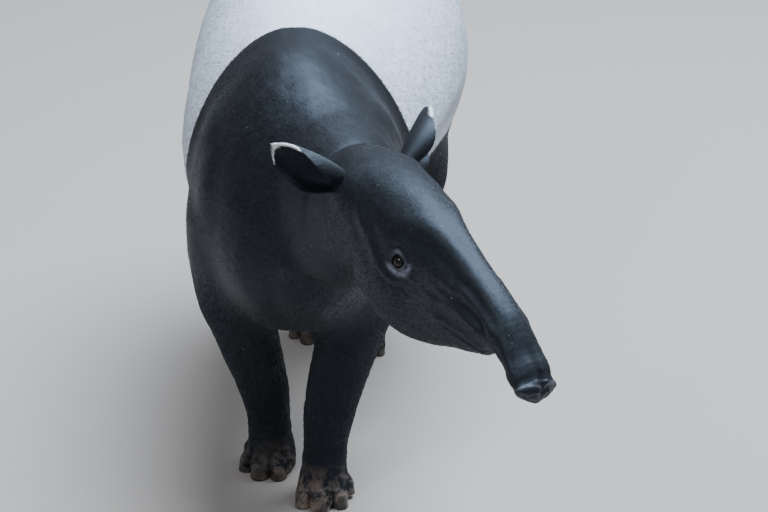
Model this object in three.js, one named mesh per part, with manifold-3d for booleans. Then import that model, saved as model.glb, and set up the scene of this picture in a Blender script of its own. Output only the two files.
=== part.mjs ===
import * as THREE from "three";
import loadManifold from "manifold-3d";

// A life-size standing tapir in millimetres: it faces -Y, its left side is +X, the floor is z = 0.
// The flesh is one smooth field, built from rows of cross-sections that melt into each other.
// Each region of the field is meshed at its own cell size, then parted by thin cuts.

const jointGap = 0.3;

// Rows of the barrel from the chest to the rump: y, middle x, height of the widest level, half width,
// reach up, reach down, and how full the upper and the lower half are: the withers are a ridge, the
// flanks draw in towards the belly, the rump is round.
const barrelRows = [
  [-250, 26, 645, 8, 10, 10, 1.87, 2.02],
  [-235, 25, 646, 62, 72, 68, 1.87, 2.02],
  [-205, 24, 648, 115, 130, 122, 1.87, 2.02],
  [-120, 14, 655, 170, 232, 210, 1.77, 2.02],
  [0, 0, 662, 203, 312, 248, 1.62, 1.97],
  [120, -18, 675, 232, 323, 267, 1.52, 1.77],
  [260, -18, 705, 266, 289, 311, 1.57, 1.47],
  [420, -12, 730, 289, 264, 342, 1.72, 1.37],
  [560, -11, 732, 305, 282, 322, 1.92, 1.37],
  [700, -11, 722, 306, 316, 262, 2.12, 1.97],
  [830, -7, 715, 284, 312, 205, 2.22, 2.02],
  [930, -2, 725, 216, 256, 165, 2.07, 2.02],
  [1000, 0, 735, 134, 166, 110, 1.97, 2.02],
  [1035, 0, 740, 42, 58, 48, 1.87, 2.02],
];

// Rows of a leg from the top down: z, middle x away from the body's own middle, y, half width, reach
// to the front, reach to the back. The near side is the same leg, set at its own stance.
const foreLegRows = [
  [640, 148, 10, 60, 70, 80],
  [540, 140, 15, 76, 98, 105],
  [440, 130, 10, 80, 92, 100],
  [360, 112, 0, 71, 74, 78],
  [280, 92, -6, 63, 60, 58],
  [210, 77, -10, 58, 52, 46],
  [140, 68, -8, 50, 44, 44],
  [80, 64, -10, 50, 50, 52],
  [30, 62, -18, 56, 56, 56],
  [-30, 62, -20, 54, 52, 52],
];
const hindLegRows = [
  [760, 120, 860, 60, 110, 90],
  [660, 150, 840, 99, 155, 130],
  [560, 144, 800, 98, 158, 140],
  [460, 150, 770, 100, 130, 125],
  [380, 148, 776, 91, 90, 93],
  [310, 115, 798, 61, 58, 63],
  [240, 87, 792, 45, 46, 44],
  [160, 74, 764, 42, 42, 42],
  [90, 68, 744, 46, 48, 50],
  [35, 64, 732, 54, 56, 56],
  [-30, 64, 730, 52, 52, 54],
];

// Rows of the neck along its own axis: distance, side, up, half width, reach up, reach down.
const neckFrom = [0, 90, 705];
const neckTo = [180, -285, 810];
const neckRows = [
  [-60, 0, 0, 120, 170, 170],
  [60, 0, 0, 178, 232, 225],
  [170, 0, 5, 164, 205, 210],
  [280, 0, 5, 138, 168, 188],
  [380, 0, 0, 112, 136, 162],
  [450, 0, 0, 70, 90, 100],
];

// The head in its own frame: crown at the origin, forward, left and up axes.
const headAt = [215, -332, 952];
const headTurn = 39.2;
const headDip = 2;
// Skull and snout: forward, height of the widest level, half width, reach up, reach down.
const skullRows = [
  [-110, -120, 50, 60, 60],
  [-70, -112, 82, 100, 110],
  [0, -105, 97, 107, 130],
  [90, -105, 95, 106, 140],
  [165, -110, 84, 98, 130],
  [240, -118, 67, 85, 105],
  [320, -136, 55, 73, 80],
  [400, -158, 48, 64, 60],
  [440, -170, 45, 57, 46],
  [475, -184, 43, 49, 32],
  [525, -212, 42, 24, 27],
  [545, -224, 36, 14, 22],
  [556, -232, 26, 6, 14],
];
// End of the snout, which droops and flares: along its own axis, side, up, half width, reach up and down.
const tipRows = [
  [-50, 0, 0, 37, 30, 14],
  [-28, 0, 4, 41, 24, 22],
  [-13, 0, 10, 49, 14, 27],
  [0, 0, 12, 34, 7, 25],
];
const tipDroop = 30;
const tipRoll = 13;
const tipEnd = [559, 0, -256.3];
const jawRows = [
  [10, -200, 40, 40, 50],
  [70, -205, 70, 70, 108],
  [140, -210, 70, 70, 116],
  [220, -212, 55, 60, 98],
  [300, -214, 42, 44, 66],
  [370, -217, 34, 32, 38],
  [410, -218, 26, 20, 22],
];

const rowSteps = 160;

function smoothRows(rows) {
  const columns = rows[0].length - 1;
  const table = [];
  const from = rows[0][0];
  const to = rows[rows.length - 1][0];
  for (let i = 0; i <= rowSteps; i += 1) {
    const t = from + ((to - from) * i) / rowSteps;
    let k = 0;
    while (k < rows.length - 2 && Math.abs(t - from) > Math.abs(rows[k + 1][0] - from)) k += 1;
    const a = rows[Math.max(k - 1, 0)];
    const b = rows[k];
    const c = rows[k + 1];
    const d = rows[Math.min(k + 2, rows.length - 1)];
    const span = c[0] - b[0];
    const u = (t - b[0]) / span;
    const line = [t];
    for (let j = 1; j <= columns; j += 1) {
      const mb = ((c[j] - a[j]) / (c[0] - a[0])) * span;
      const mc = ((d[j] - b[j]) / (d[0] - b[0])) * span;
      const u2 = u * u;
      const u3 = u2 * u;
      const start = (2 * u3 - 3 * u2 + 1) * b[j] + (u3 - 2 * u2 + u) * mb;
      line.push(start + (3 * u2 - 2 * u3) * c[j] + (u3 - u2) * mc);
    }
    table.push(line);
  }
  return table;
}

// Share of the way from the middle of a section to its side, rounded so that no ridge forms at the middle.
function rounded(share) {
  return (Math.hypot(share, 0.15) - 0.15) / (Math.hypot(1, 0.15) - 0.15);
}

// One form: cross-sections with a side and an up axis, read along the axis that is left.
function rowForm(rows, frame, power = 2.2) {
  const table = smoothRows(rows);
  const from = table[0][0];
  const step = (table[rowSteps][0] - from) / rowSteps;
  const { origin, along, side, up } = frame;
  return (x, y, z) => {
    const dx = x - origin[0];
    const dy = y - origin[1];
    const dz = z - origin[2];
    const t = dx * along[0] + dy * along[1] + dz * along[2];
    const place = (t - from) / step;
    const inside = Math.min(Math.max(place, 0), rowSteps);
    const k = Math.min(Math.floor(inside), rowSteps - 1);
    const w = inside - k;
    const a = table[k];
    const b = table[k + 1];
    const mix = (j) => a[j] + (b[j] - a[j]) * w;
    const s = dx * side[0] + dy * side[1] + dz * side[2] - mix(1);
    const u = dx * up[0] + dy * up[1] + dz * up[2] - mix(2);
    const reach = u > 0 ? mix(4) : mix(5);
    const fullness = a.length > 7 ? mix(u > 0 ? 6 : 7) : power;
    const aside = a.length > 7 ? rounded(s / mix(3)) : Math.abs(s / mix(3));
    const r = (aside ** fullness + Math.abs(u / reach) ** fullness) ** (1 / fullness);
    const across = r < 1e-6 ? -Math.min(mix(3), reach) : Math.hypot(s, u) * (1 - 1 / r);
    const past = Math.abs(place - inside) * Math.abs(step);
    return past > 0 ? Math.hypot(Math.max(across, 0), past) + Math.min(across, 0) * 0.001 : across;
  };
}

function ball(at, radii, axes) {
  return (x, y, z) => {
    const d = [x - at[0], y - at[1], z - at[2]];
    let sum = 0;
    let gradient = 0;
    for (let i = 0; i < 3; i += 1) {
      const q = (d[0] * axes[i][0] + d[1] * axes[i][1] + d[2] * axes[i][2]) / radii[i];
      sum += q * q;
      gradient += (q / radii[i]) ** 2;
    }
    const r = Math.sqrt(sum);
    return gradient < 1e-12 ? -Math.min(...radii) : (r * (r - 1)) / Math.sqrt(gradient);
  };
}

function melt(a, b, k) {
  const h = Math.max(k - Math.abs(a - b), 0) / k;
  return Math.min(a, b) - (h * h * k) / 4;
}

const worldAxes = [[1, 0, 0], [0, 1, 0], [0, 0, 1]];
const scaled = (v, k) => v.map((c) => c * k);
const plus = (...vs) => [0, 1, 2].map((i) => vs.reduce((sum, v) => sum + v[i], 0));

// Head frame.
const turn = THREE.MathUtils.degToRad(headTurn);
const dip = THREE.MathUtils.degToRad(headDip);
const headForward = [Math.sin(turn) * Math.cos(dip), -Math.cos(turn) * Math.cos(dip), -Math.sin(dip)];
const headLeft = [Math.cos(turn), Math.sin(turn), 0];
const headUp = new THREE.Vector3(...headForward).cross(new THREE.Vector3(...headLeft)).toArray();
function headPoint(f, l, u) {
  return plus(headAt, scaled(headForward, f), scaled(headLeft, l), scaled(headUp, u));
}
const headFrame = { origin: headAt, along: headForward, side: headLeft, up: headUp };
const headAxes = [headForward, headLeft, headUp];
const centred = (rows) => rows.map(([t, u, w, a, b]) => [t, 0, u, w, a, b]);

// Neck frame.
const neckAlong = new THREE.Vector3(...neckTo).sub(new THREE.Vector3(...neckFrom)).normalize();
const neckSide = new THREE.Vector3(-neckAlong.y, neckAlong.x, 0).normalize();
const neckUp = neckAlong.clone().cross(neckSide).normalize();
if (neckUp.z < 0) neckUp.negate();
const neckFrame = {
  origin: neckFrom,
  along: neckAlong.toArray(),
  side: neckSide.toArray(),
  up: neckUp.toArray(),
};
const barrelFrame = { origin: [0, 0, 0], along: [0, 1, 0], side: [1, 0, 0], up: [0, 0, 1] };
const legFrame = { origin: [0, 0, 0], along: [0, 0, 1], side: [1, 0, 0], up: [0, -1, 0] };

const barrel = rowForm(barrelRows, barrelFrame);
const neck = rowForm(neckRows, neckFrame, 2.1);
const skull = rowForm(centred(skullRows), headFrame, 2.2);
const jaw = rowForm(centred(jawRows), headFrame, 2.1);

// Frame of the drooping end of the snout.
const droop = THREE.MathUtils.degToRad(tipDroop);
const tipForward = plus(scaled(headForward, Math.cos(droop)), scaled(headUp, -Math.sin(droop)));
const level = plus(scaled(headForward, Math.sin(droop)), scaled(headUp, Math.cos(droop)));
const roll = THREE.MathUtils.degToRad(tipRoll);
const tipSide = plus(scaled(headLeft, Math.cos(roll)), scaled(level, -Math.sin(roll)));
const tipUp = plus(scaled(level, Math.cos(roll)), scaled(headLeft, Math.sin(roll)));
const tipAt = headPoint(...tipEnd);
const snoutTip = rowForm(tipRows, { origin: tipAt, along: tipForward, side: tipSide, up: tipUp }, 2.2);

// Stance of each leg: which side, how far forward its foot stands and how its foot turns out.
const legs = {
  fore_left: { rows: foreLegRows, sign: 1, ahead: 15, inset: -2, turnOut: 4, toes: 4 },
  fore_right: { rows: foreLegRows, sign: -1, ahead: -103, inset: 11, turnOut: 20, toes: 4 },
  hind_left: { rows: hindLegRows, sign: 1, ahead: 60, inset: -8, turnOut: 6, toes: 3 },
  hind_right: { rows: hindLegRows, sign: -1, ahead: 0, inset: 4, turnOut: 10, toes: 3 },
};

const toeRows = {
  4: [
    { ahead: 46, out: -2, up: 20, size: [28, 22.5, 26], spread: 0 },
    { ahead: 32, out: -36.5, up: 19, size: [26, 19.5, 24], spread: -24 },
    { ahead: 30, out: 35.5, up: 19, size: [26, 19.5, 24], spread: 26 },
    { ahead: -8, out: 50, up: 30, size: [20, 13.5, 20], spread: 50 },
  ],
  3: [
    { ahead: 48, out: 0, up: 20, size: [28, 21, 26], spread: 0 },
    { ahead: 32, out: -34, up: 19, size: [25, 18, 23], spread: -22 },
    { ahead: 32, out: 34, up: 19, size: [25, 18, 23], spread: 22 },
  ],
};

function placeLeg(leg) {
  const top = leg.rows[0][0];
  const rows = leg.rows.map(([z, x, y, w, front, back]) => {
    const drop = THREE.MathUtils.smoothstep(top - z, 60, top - 60);
    return [z, leg.sign * (x + leg.inset * drop), leg.ahead * drop - y, w, front, back];
  });
  const last = rows[rows.length - 2];
  const heading = THREE.MathUtils.degToRad(leg.turnOut) * leg.sign;
  const forward = [Math.sin(heading), -Math.cos(heading), 0];
  const out = scaled([Math.cos(heading), Math.sin(heading), 0], leg.sign);
  const sole = [last[1], -last[2], 0];
  const toes = toeRows[leg.toes].map((toe) => {
    const swing = THREE.MathUtils.degToRad(toe.spread);
    const axis = plus(scaled(forward, Math.cos(swing)), scaled(out, Math.sin(swing)));
    const across = [-axis[1], axis[0], 0];
    const at = plus(sole, scaled(forward, toe.ahead), scaled(out, toe.out), [0, 0, toe.up]);
    return { at, size: toe.size, axes: [axis, across, [0, 0, 1]] };
  });
  const shaft = rowForm(rows, legFrame, 2.1);
  const toeBalls = toes.map((toe) => ball(toe.at, toe.size, toe.axes));
  const field = (x, y, z) => {
    let value = shaft(x, y, z);
    if (z < 130) for (const toe of toeBalls) value = melt(value, toe(x, y, z), 18);
    return value;
  };
  return { ...leg, rows, sole, forward, out, toes, field };
}

for (const name of Object.keys(legs)) legs[name] = placeLeg(legs[name]);

const shoulderLeft = ball([144, 40, 670], [56, 140, 180], worldAxes);
const shoulderRight = ball([-142, 40, 670], [56, 140, 180], worldAxes);
const cheekLeft = ball(headPoint(110, 52, -185), [80, 36, 72], headAxes);
const cheekRight = ball(headPoint(110, -52, -185), [80, 36, 72], headAxes);

function torsoField(x, y, z) {
  let value = barrel(x, y, z);
  value = melt(value, shoulderLeft(x, y, z), 50);
  value = melt(value, shoulderRight(x, y, z), 50);
  value = melt(value, neck(x, y, z), 90);
  return melt(value, headField(x, y, z), 70);
}

// Each leg melts into the torso by itself, so that no web forms between two legs.
function bodyField(x, y, z) {
  const torso = torsoField(x, y, z);
  return Math.min(...Object.values(legs).map((leg) => melt(torso, leg.field(x, y, z), 70)));
}

function headField(x, y, z) {
  let value = melt(skull(x, y, z), jaw(x, y, z), 40);
  value = melt(value, snoutTip(x, y, z), 30);
  value = melt(value, cheekLeft(x, y, z), 30);
  value = melt(value, cheekRight(x, y, z), 30);
  return value;
}

function neckAndHead(x, y, z) {
  return melt(neck(x, y, z), headField(x, y, z), 70);
}

function slope(field, [x, y, z], h) {
  return new THREE.Vector3(
    field(x + h, y, z) - field(x - h, y, z),
    field(x, y + h, z) - field(x, y - h, z),
    field(x, y, z + h) - field(x, y, z - h),
  ).divideScalar(2 * h);
}

// Meshes the zero level of a field in a box, one vertex per crossed cell, then slides each vertex on to
// the level along the gradient.
function meshField(field, min, max, cell) {
  const n = [0, 1, 2].map((i) => Math.ceil((max[i] - min[i]) / cell) + 1);
  const at = (i, j, k) => (k * n[1] + j) * n[0] + i;
  const values = new Float64Array(n[0] * n[1] * n[2]);
  for (let k = 0; k < n[2]; k += 1) {
    for (let j = 0; j < n[1]; j += 1) {
      for (let i = 0; i < n[0]; i += 1) {
        values[at(i, j, k)] = field(min[0] + i * cell, min[1] + j * cell, min[2] + k * cell);
      }
    }
  }
  const vertexOf = new Map();
  const points = [];
  const corners = [0, 1, 2, 3, 4, 5, 6, 7].map((c) => [c & 1, (c >> 1) & 1, (c >> 2) & 1]);
  const edges = [];
  for (let a = 0; a < 8; a += 1) {
    for (const bit of [1, 2, 4]) if (!(a & bit)) edges.push([a, a | bit]);
  }
  for (let k = 0; k < n[2] - 1; k += 1) {
    for (let j = 0; j < n[1] - 1; j += 1) {
      for (let i = 0; i < n[0] - 1; i += 1) {
        const v = corners.map(([a, b, c]) => values[at(i + a, j + b, k + c)]);
        const sum = [0, 0, 0];
        let crossings = 0;
        for (const [a, b] of edges) {
          if (v[a] < 0 === v[b] < 0) continue;
          const w = v[a] / (v[a] - v[b]);
          for (let m = 0; m < 3; m += 1) sum[m] += corners[a][m] + (corners[b][m] - corners[a][m]) * w;
          crossings += 1;
        }
        if (!crossings) continue;
        vertexOf.set(at(i, j, k), points.length / 3);
        points.push(
          min[0] + (i + sum[0] / crossings) * cell,
          min[1] + (j + sum[1] / crossings) * cell,
          min[2] + (k + sum[2] / crossings) * cell,
        );
      }
    }
  }
  for (let pass = 0; pass < 3; pass += 1) {
    for (let p = 0; p < points.length; p += 3) {
      const here = points.slice(p, p + 3);
      const gradient = slope(field, here, 0.5);
      const wanted = field(...here) / Math.max(gradient.lengthSq(), 0.05);
      const move = THREE.MathUtils.clamp(wanted, -cell * 0.4, cell * 0.4);
      for (let m = 0; m < 3; m += 1) points[p + m] -= gradient.getComponent(m) * move;
    }
  }
  const triangles = [];
  const axes = [[1, 0, 0], [0, 1, 0], [0, 0, 1]];
  for (let k = 1; k < n[2] - 1; k += 1) {
    for (let j = 1; j < n[1] - 1; j += 1) {
      for (let i = 1; i < n[0] - 1; i += 1) {
        const here = values[at(i, j, k)] < 0;
        axes.forEach((axis, m) => {
          const there = values[at(i + axis[0], j + axis[1], k + axis[2])] < 0;
          if (here === there) return;
          const p = axes[(m + 1) % 3];
          const q = axes[(m + 2) % 3];
          const cellAt = (a, b) =>
            vertexOf.get(at(i - a * p[0] - b * q[0], j - a * p[1] - b * q[1], k - a * p[2] - b * q[2]));
          let quad = [cellAt(1, 1), cellAt(0, 1), cellAt(0, 0), cellAt(1, 0)];
          if (!here) quad = quad.reverse();
          const reach = (a, b) => {
            const gaps = [0, 1, 2].map((c) => points[3 * a + c] - points[3 * b + c]);
            return Math.hypot(...gaps);
          };
          if (reach(quad[0], quad[2]) < reach(quad[1], quad[3])) {
            triangles.push(quad[0], quad[1], quad[2], quad[0], quad[2], quad[3]);
          } else {
            triangles.push(quad[0], quad[1], quad[3], quad[1], quad[2], quad[3]);
          }
        });
      }
    }
  }
  return { points, triangles };
}

const wasm = await loadManifold();
wasm.setup();
const { Manifold, Mesh } = wasm;

function solidFrom(points, triangles) {
  return new Manifold(new Mesh({
    numProp: 3,
    vertProperties: Float32Array.from(points),
    triVerts: Uint32Array.from(triangles),
  }));
}

// The same with its faces turned outwards, whichever way round they were listed.
function outwardSolid(points, triangles) {
  const solid = solidFrom(points, triangles);
  return solid.volume() > 0 ? solid : solidFrom(points, [...triangles].reverse());
}

function solidFromGeometry(geometry, matrix = new THREE.Matrix4()) {
  const placed = geometry.clone().applyMatrix4(matrix);
  const position = placed.attributes.position;
  const index = placed.index ? placed.index.array : [...Array(position.count).keys()];
  const seen = new Map();
  const points = [];
  const remap = [];
  for (let i = 0; i < position.count; i += 1) {
    const key = [0, 1, 2].map((c) => Math.round(position.getComponent(i, c) * 1e3)).join(" ");
    if (!seen.has(key)) {
      seen.set(key, points.length / 3);
      points.push(position.getX(i), position.getY(i), position.getZ(i));
    }
    remap.push(seen.get(key));
  }
  const triangles = [];
  for (let i = 0; i < index.length; i += 3) {
    const [a, b, c] = [remap[index[i]], remap[index[i + 1]], remap[index[i + 2]]];
    if (a !== b && b !== c && c !== a) triangles.push(a, b, c);
  }
  return solidFrom(points, triangles);
}

// Keeps what lies on the side of a plane that its normal points to, a half gap away from it.
function keepAhead(solid, point, normal) {
  const n = new THREE.Vector3(...normal).normalize();
  return solid.trimByPlane(n.toArray(), n.dot(new THREE.Vector3(...point)) + jointGap / 2);
}

function keepBehind(solid, point, normal) {
  return keepAhead(solid, point, scaled(normal, -1));
}

function largestBody(solid) {
  return solid.decompose().sort((a, b) => b.volume() - a.volume())[0];
}

// The part of a field inside a box, as closed solids that share one set of triangles: one for each
// distance off the surface in the list. Flat ends close it where the box cuts it.
function regionSolids(field, min, max, cell, offsets = [0]) {
  const boxed = (x, y, z) => Math.max(
    field(x, y, z), min[0] - x, x - max[0], min[1] - y, y - max[1], min[2] - z, z - max[2],
  );
  const margin = 1.6 * cell;
  const low = min.map((c) => c - margin);
  const high = max.map((c) => c + margin);
  const { points, triangles } = meshField(boxed, low, high, cell);
  const normals = [];
  for (let p = 0; p < points.length; p += 3) {
    normals.push(...slope(boxed, points.slice(p, p + 3), 2).normalize());
  }
  return offsets.map((offset) => solidFrom(points.map((c, i) => c + normals[i] * offset), triangles));
}

// Where the body is parted.
const bodyCell = 43.8;
const headCell = 19.5;
const legCell = 27.5;
const footCell = 19;
const border = { point: [-30, 192, 960], normal: [-0.12, 1, -0.06] };
const headCut = {
  point: headPoint(-42, 0, 0),
  normal: plus(scaled(headForward, 0.936), scaled(headUp, 0.351)),
};
const neckCut = { point: [60, -170, 780], normal: [0.25, -0.85, 0.35] };
const snoutCut = { point: headPoint(436, 0, 0), normal: headForward };
const up = [0, 0, 1];
const elbow = { fore: [0, 0, 388], hind: [0, 0, 398] };
const ankle = [0, 0, 92];

// Edge of the black hind quarters, seen from the side: y and z from the flank fold to below the tail.
const haunchCurve = new THREE.CatmullRomCurve3([
  [560, 330], [600, 430], [640, 520], [740, 610], [880, 690], [980, 730], [1060, 745],
].map(([y, z]) => new THREE.Vector3(0, y, z)));

// Line of the mouth in the head's frame: forward and up, from the corner to the lips.
const mouthCurve = new THREE.CatmullRomCurve3([
  [288, -214], [330, -213], [380, -218], [425, -226], [480, -236],
].map(([f, u]) => new THREE.Vector3(0, f, u)));

// A slab of the side view below a curve, as wide as the animal; it can stand off the curve by a gap.
function belowCurve(curve, corners, offset, basis, width) {
  const shape = new THREE.Shape();
  const steps = 14;
  const along = curve.getPoints(steps);
  along.forEach((p, i) => {
    const ahead = along[Math.min(i + 1, steps)].clone().sub(along[Math.max(i - 1, 0)]).normalize();
    const a = p.y - ahead.z * offset;
    const b = p.z + ahead.y * offset;
    if (i) shape.lineTo(a, b);
    else shape.moveTo(a, b);
  });
  for (const [a, b, stretch] of corners) shape.lineTo(a - stretch * offset, b);
  const geometry = new THREE.ExtrudeGeometry(shape, { depth: 2 * width, bevelEnabled: false, steps: 1 });
  geometry.translate(0, 0, -width);
  return solidFromGeometry(geometry, basis);
}

const sideView = new THREE.Matrix4().makeBasis(
  new THREE.Vector3(0, 1, 0), new THREE.Vector3(0, 0, 1), new THREE.Vector3(1, 0, 0),
);
const headSideView = new THREE.Matrix4().makeBasis(
  new THREE.Vector3(...headForward),
  new THREE.Vector3(...headUp),
  new THREE.Vector3(...headLeft).negate(),
).setPosition(...headAt);
function haunchSlab(offset) {
  return belowCurve(haunchCurve, [[1200, 745, 0], [1200, -50, 0], [560, -50, 1]], offset, sideView, 420);
}
function jawSlab(offset) {
  return belowCurve(mouthCurve, [[480, -420, 0], [288, -420, 1]], offset, headSideView, 140);
}

// A ball stretched along the axes of a frame.
function stretchedBall(at, radii, axes, rounds, rings) {
  const reaches = axes.map((axis, i) => new THREE.Vector3(...axis).multiplyScalar(radii[i]));
  const place = new THREE.Matrix4().makeBasis(...reaches);
  if (place.determinant() < 0) place.multiply(new THREE.Matrix4().makeScale(1, 1, -1));
  return solidFromGeometry(new THREE.SphereGeometry(1, rounds, rings), place.setPosition(...at));
}

// Eyes, each a ball under two lids.
const eyeRadius = 17;
const lidThickness = 4.5;
const eyeSpot = { forward: 196, side: 63, up: -126 };
const eyeLooks = { forward: 0.39, side: 0.87, up: 0.29 };
const lidOpening = { length: 30, upper: 12.5, lower: 10.5, tilt: -14 };

// Ears, each a leaf rolled into a cup: the roll opens from root to tip.
const earLength = 154;
const earHalfWidth = 42;
const earThickness = 6;
const earRoot = { forward: -4, side: 70, up: -42 };
const earLean = { forward: -0.63, side: 0.66, up: 0.41 };
const earOpens = { forward: 0.6, side: 0.74, up: -0.2 };

const headSpot = (spot, sign) => headPoint(spot.forward, sign * spot.side, spot.up);
function headAim(way, sign) {
  return new THREE.Vector3(...headSpot(way, sign)).sub(new THREE.Vector3(...headAt)).normalize();
}

// Half width of the leaf at a share of its length.
function earSwell(v) {
  if (v < 0.55) return THREE.MathUtils.lerp(0.62, 1, Math.sin((v / 0.55) * Math.PI / 2));
  return Math.max((1 - ((v - 0.55) / 0.46) ** 3) ** 0.5, 0.4);
}

function earSolid(sign) {
  const at = headSpot(earRoot, sign);
  const long = headAim(earLean, sign);
  const open = headAim(earOpens, sign);
  open.addScaledVector(long, -open.dot(long)).normalize();
  const wide = long.clone().cross(open);
  const across = 8;
  const rows = 9;
  const point = (i, j, inset) => {
    const v = j / rows;
    const u = (2 * i) / across - 1;
    const opened = THREE.MathUtils.smoothstep(v, 0, 0.95);
    const roll = THREE.MathUtils.degToRad(THREE.MathUtils.lerp(142, 62, opened));
    const centre = (earHalfWidth * earSwell(v)) / Math.sin(Math.min(roll, Math.PI / 2));
    const radius = centre - inset;
    const reach = earLength * v - (j === rows ? 0.5 * inset : 0) - 7 * v * u * u;
    return new THREE.Vector3(...at)
      .addScaledVector(long, reach)
      .addScaledVector(wide, radius * Math.sin(u * roll))
      .addScaledVector(open, centre - radius * Math.cos(u * roll) - 16 + 20 * v * v);
  };
  const points = [];
  for (const side of [0, 1]) {
    for (let j = 0; j <= rows; j += 1) {
      for (let i = 0; i <= across; i += 1) {
        const edge = Math.abs((2 * i) / across - 1);
        points.push(...point(i, j, side * earThickness * (1 - 0.35 * edge ** 3)).toArray());
      }
    }
  }
  const at2 = (side, i, j) => side * (rows + 1) * (across + 1) + j * (across + 1) + i;
  const triangles = [];
  const quad = (a, b, c, d) => triangles.push(a, b, c, a, c, d);
  for (let j = 0; j < rows; j += 1) {
    for (let i = 0; i < across; i += 1) {
      quad(at2(0, i, j), at2(0, i, j + 1), at2(0, i + 1, j + 1), at2(0, i + 1, j));
      quad(at2(1, i, j), at2(1, i + 1, j), at2(1, i + 1, j + 1), at2(1, i, j + 1));
    }
    quad(at2(0, 0, j), at2(1, 0, j), at2(1, 0, j + 1), at2(0, 0, j + 1));
    quad(at2(0, across, j), at2(0, across, j + 1), at2(1, across, j + 1), at2(1, across, j));
  }
  for (let i = 0; i < across; i += 1) {
    quad(at2(0, i, 0), at2(0, i + 1, 0), at2(1, i + 1, 0), at2(1, i, 0));
    quad(at2(0, i, rows), at2(1, i, rows), at2(1, i + 1, rows), at2(0, i + 1, rows));
  }
  return outwardSolid(points, triangles);
}

const nodes = [];
const black = 0x23262b;
const white = 0xc9ccd0;
const horn = 0x5c5148;
const eyeBrown = 0x1a120d;
function addNode(name, solid, color, roughness = 0.7) {
  const mesh = largestBody(solid).getMesh();
  const position = new THREE.BufferAttribute(new Float32Array(mesh.vertProperties), 3);
  const geometry = new THREE.BufferGeometry().setAttribute("position", position);
  geometry.setIndex(new THREE.BufferAttribute(new Uint32Array(mesh.triVerts), 1));
  geometry.computeVertexNormals();
  const node = new THREE.Mesh(geometry, new THREE.MeshStandardMaterial({ color, roughness }));
  node.name = name;
  nodes.push(node);
}

// Torso, neck and haunches.
const [bodySolid, bodySkin] = regionSolids(
  bodyField, [-360, -420, 330], [400, 1085, 1090], bodyCell, [0, jointGap + 0.1],
);
const behind = keepAhead(bodySolid, border.point, border.normal);
const front = keepAhead(keepBehind(bodySolid, border.point, border.normal), elbow.fore, up);
addNode("forequarters", keepBehind(front, neckCut.point, neckCut.normal), black);
addNode("saddle", behind.subtract(haunchSlab(jointGap)), white);
const neckSolid = keepAhead(front, neckCut.point, neckCut.normal);
addNode("neck", keepBehind(neckSolid, headCut.point, headCut.normal), black);
const haunches = keepAhead(behind.intersect(haunchSlab(0)), elbow.hind, up);
addNode("thigh_left", keepAhead(haunches, [0, 0, 0], [1, 0, 0]), black);
addNode("thigh_right", keepAhead(haunches, [0, 0, 0], [-1, 0, 0]), black);

// Tail, a short tapered cone on the rump.
const tailPath = new THREE.CatmullRomCurve3([
  new THREE.Vector3(0, 930, 862),
  new THREE.Vector3(0, 985, 825),
  new THREE.Vector3(0, 1040, 790),
  new THREE.Vector3(0, 1062, 738),
]);
function tailSolid() {
  const rings = 7;
  const sides = 10;
  const geometry = new THREE.TubeGeometry(tailPath, rings, 1, sides, false);
  const position = geometry.attributes.position;
  const points = [];
  for (let j = 0; j <= rings; j += 1) {
    const centre = tailPath.getPointAt(j / rings);
    const radius = THREE.MathUtils.lerp(34, 11, Math.sqrt(j / rings));
    for (let i = 0; i < sides; i += 1) {
      const p = new THREE.Vector3().fromBufferAttribute(position, j * (sides + 1) + i).sub(centre);
      points.push(...p.multiplyScalar(radius).add(centre).toArray());
    }
  }
  const end = tailPath.getPoint(1);
  points.push(...tailPath.getPoint(0).toArray(), end.x, end.y + 3, end.z - 6);
  const triangles = [];
  for (let i = 0; i < sides; i += 1) {
    const next = (i + 1) % sides;
    for (let j = 0; j < rings; j += 1) {
      const a = j * sides;
      triangles.push(a + i, a + next, a + sides + next, a + i, a + sides + next, a + sides + i);
    }
    const ends = (rings + 1) * sides;
    triangles.push(ends, next, i, ends + 1, rings * sides + i, rings * sides + next);
  }
  return outwardSolid(points, triangles);
}
addNode("tail", tailSolid().subtract(bodySkin), white);

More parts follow.
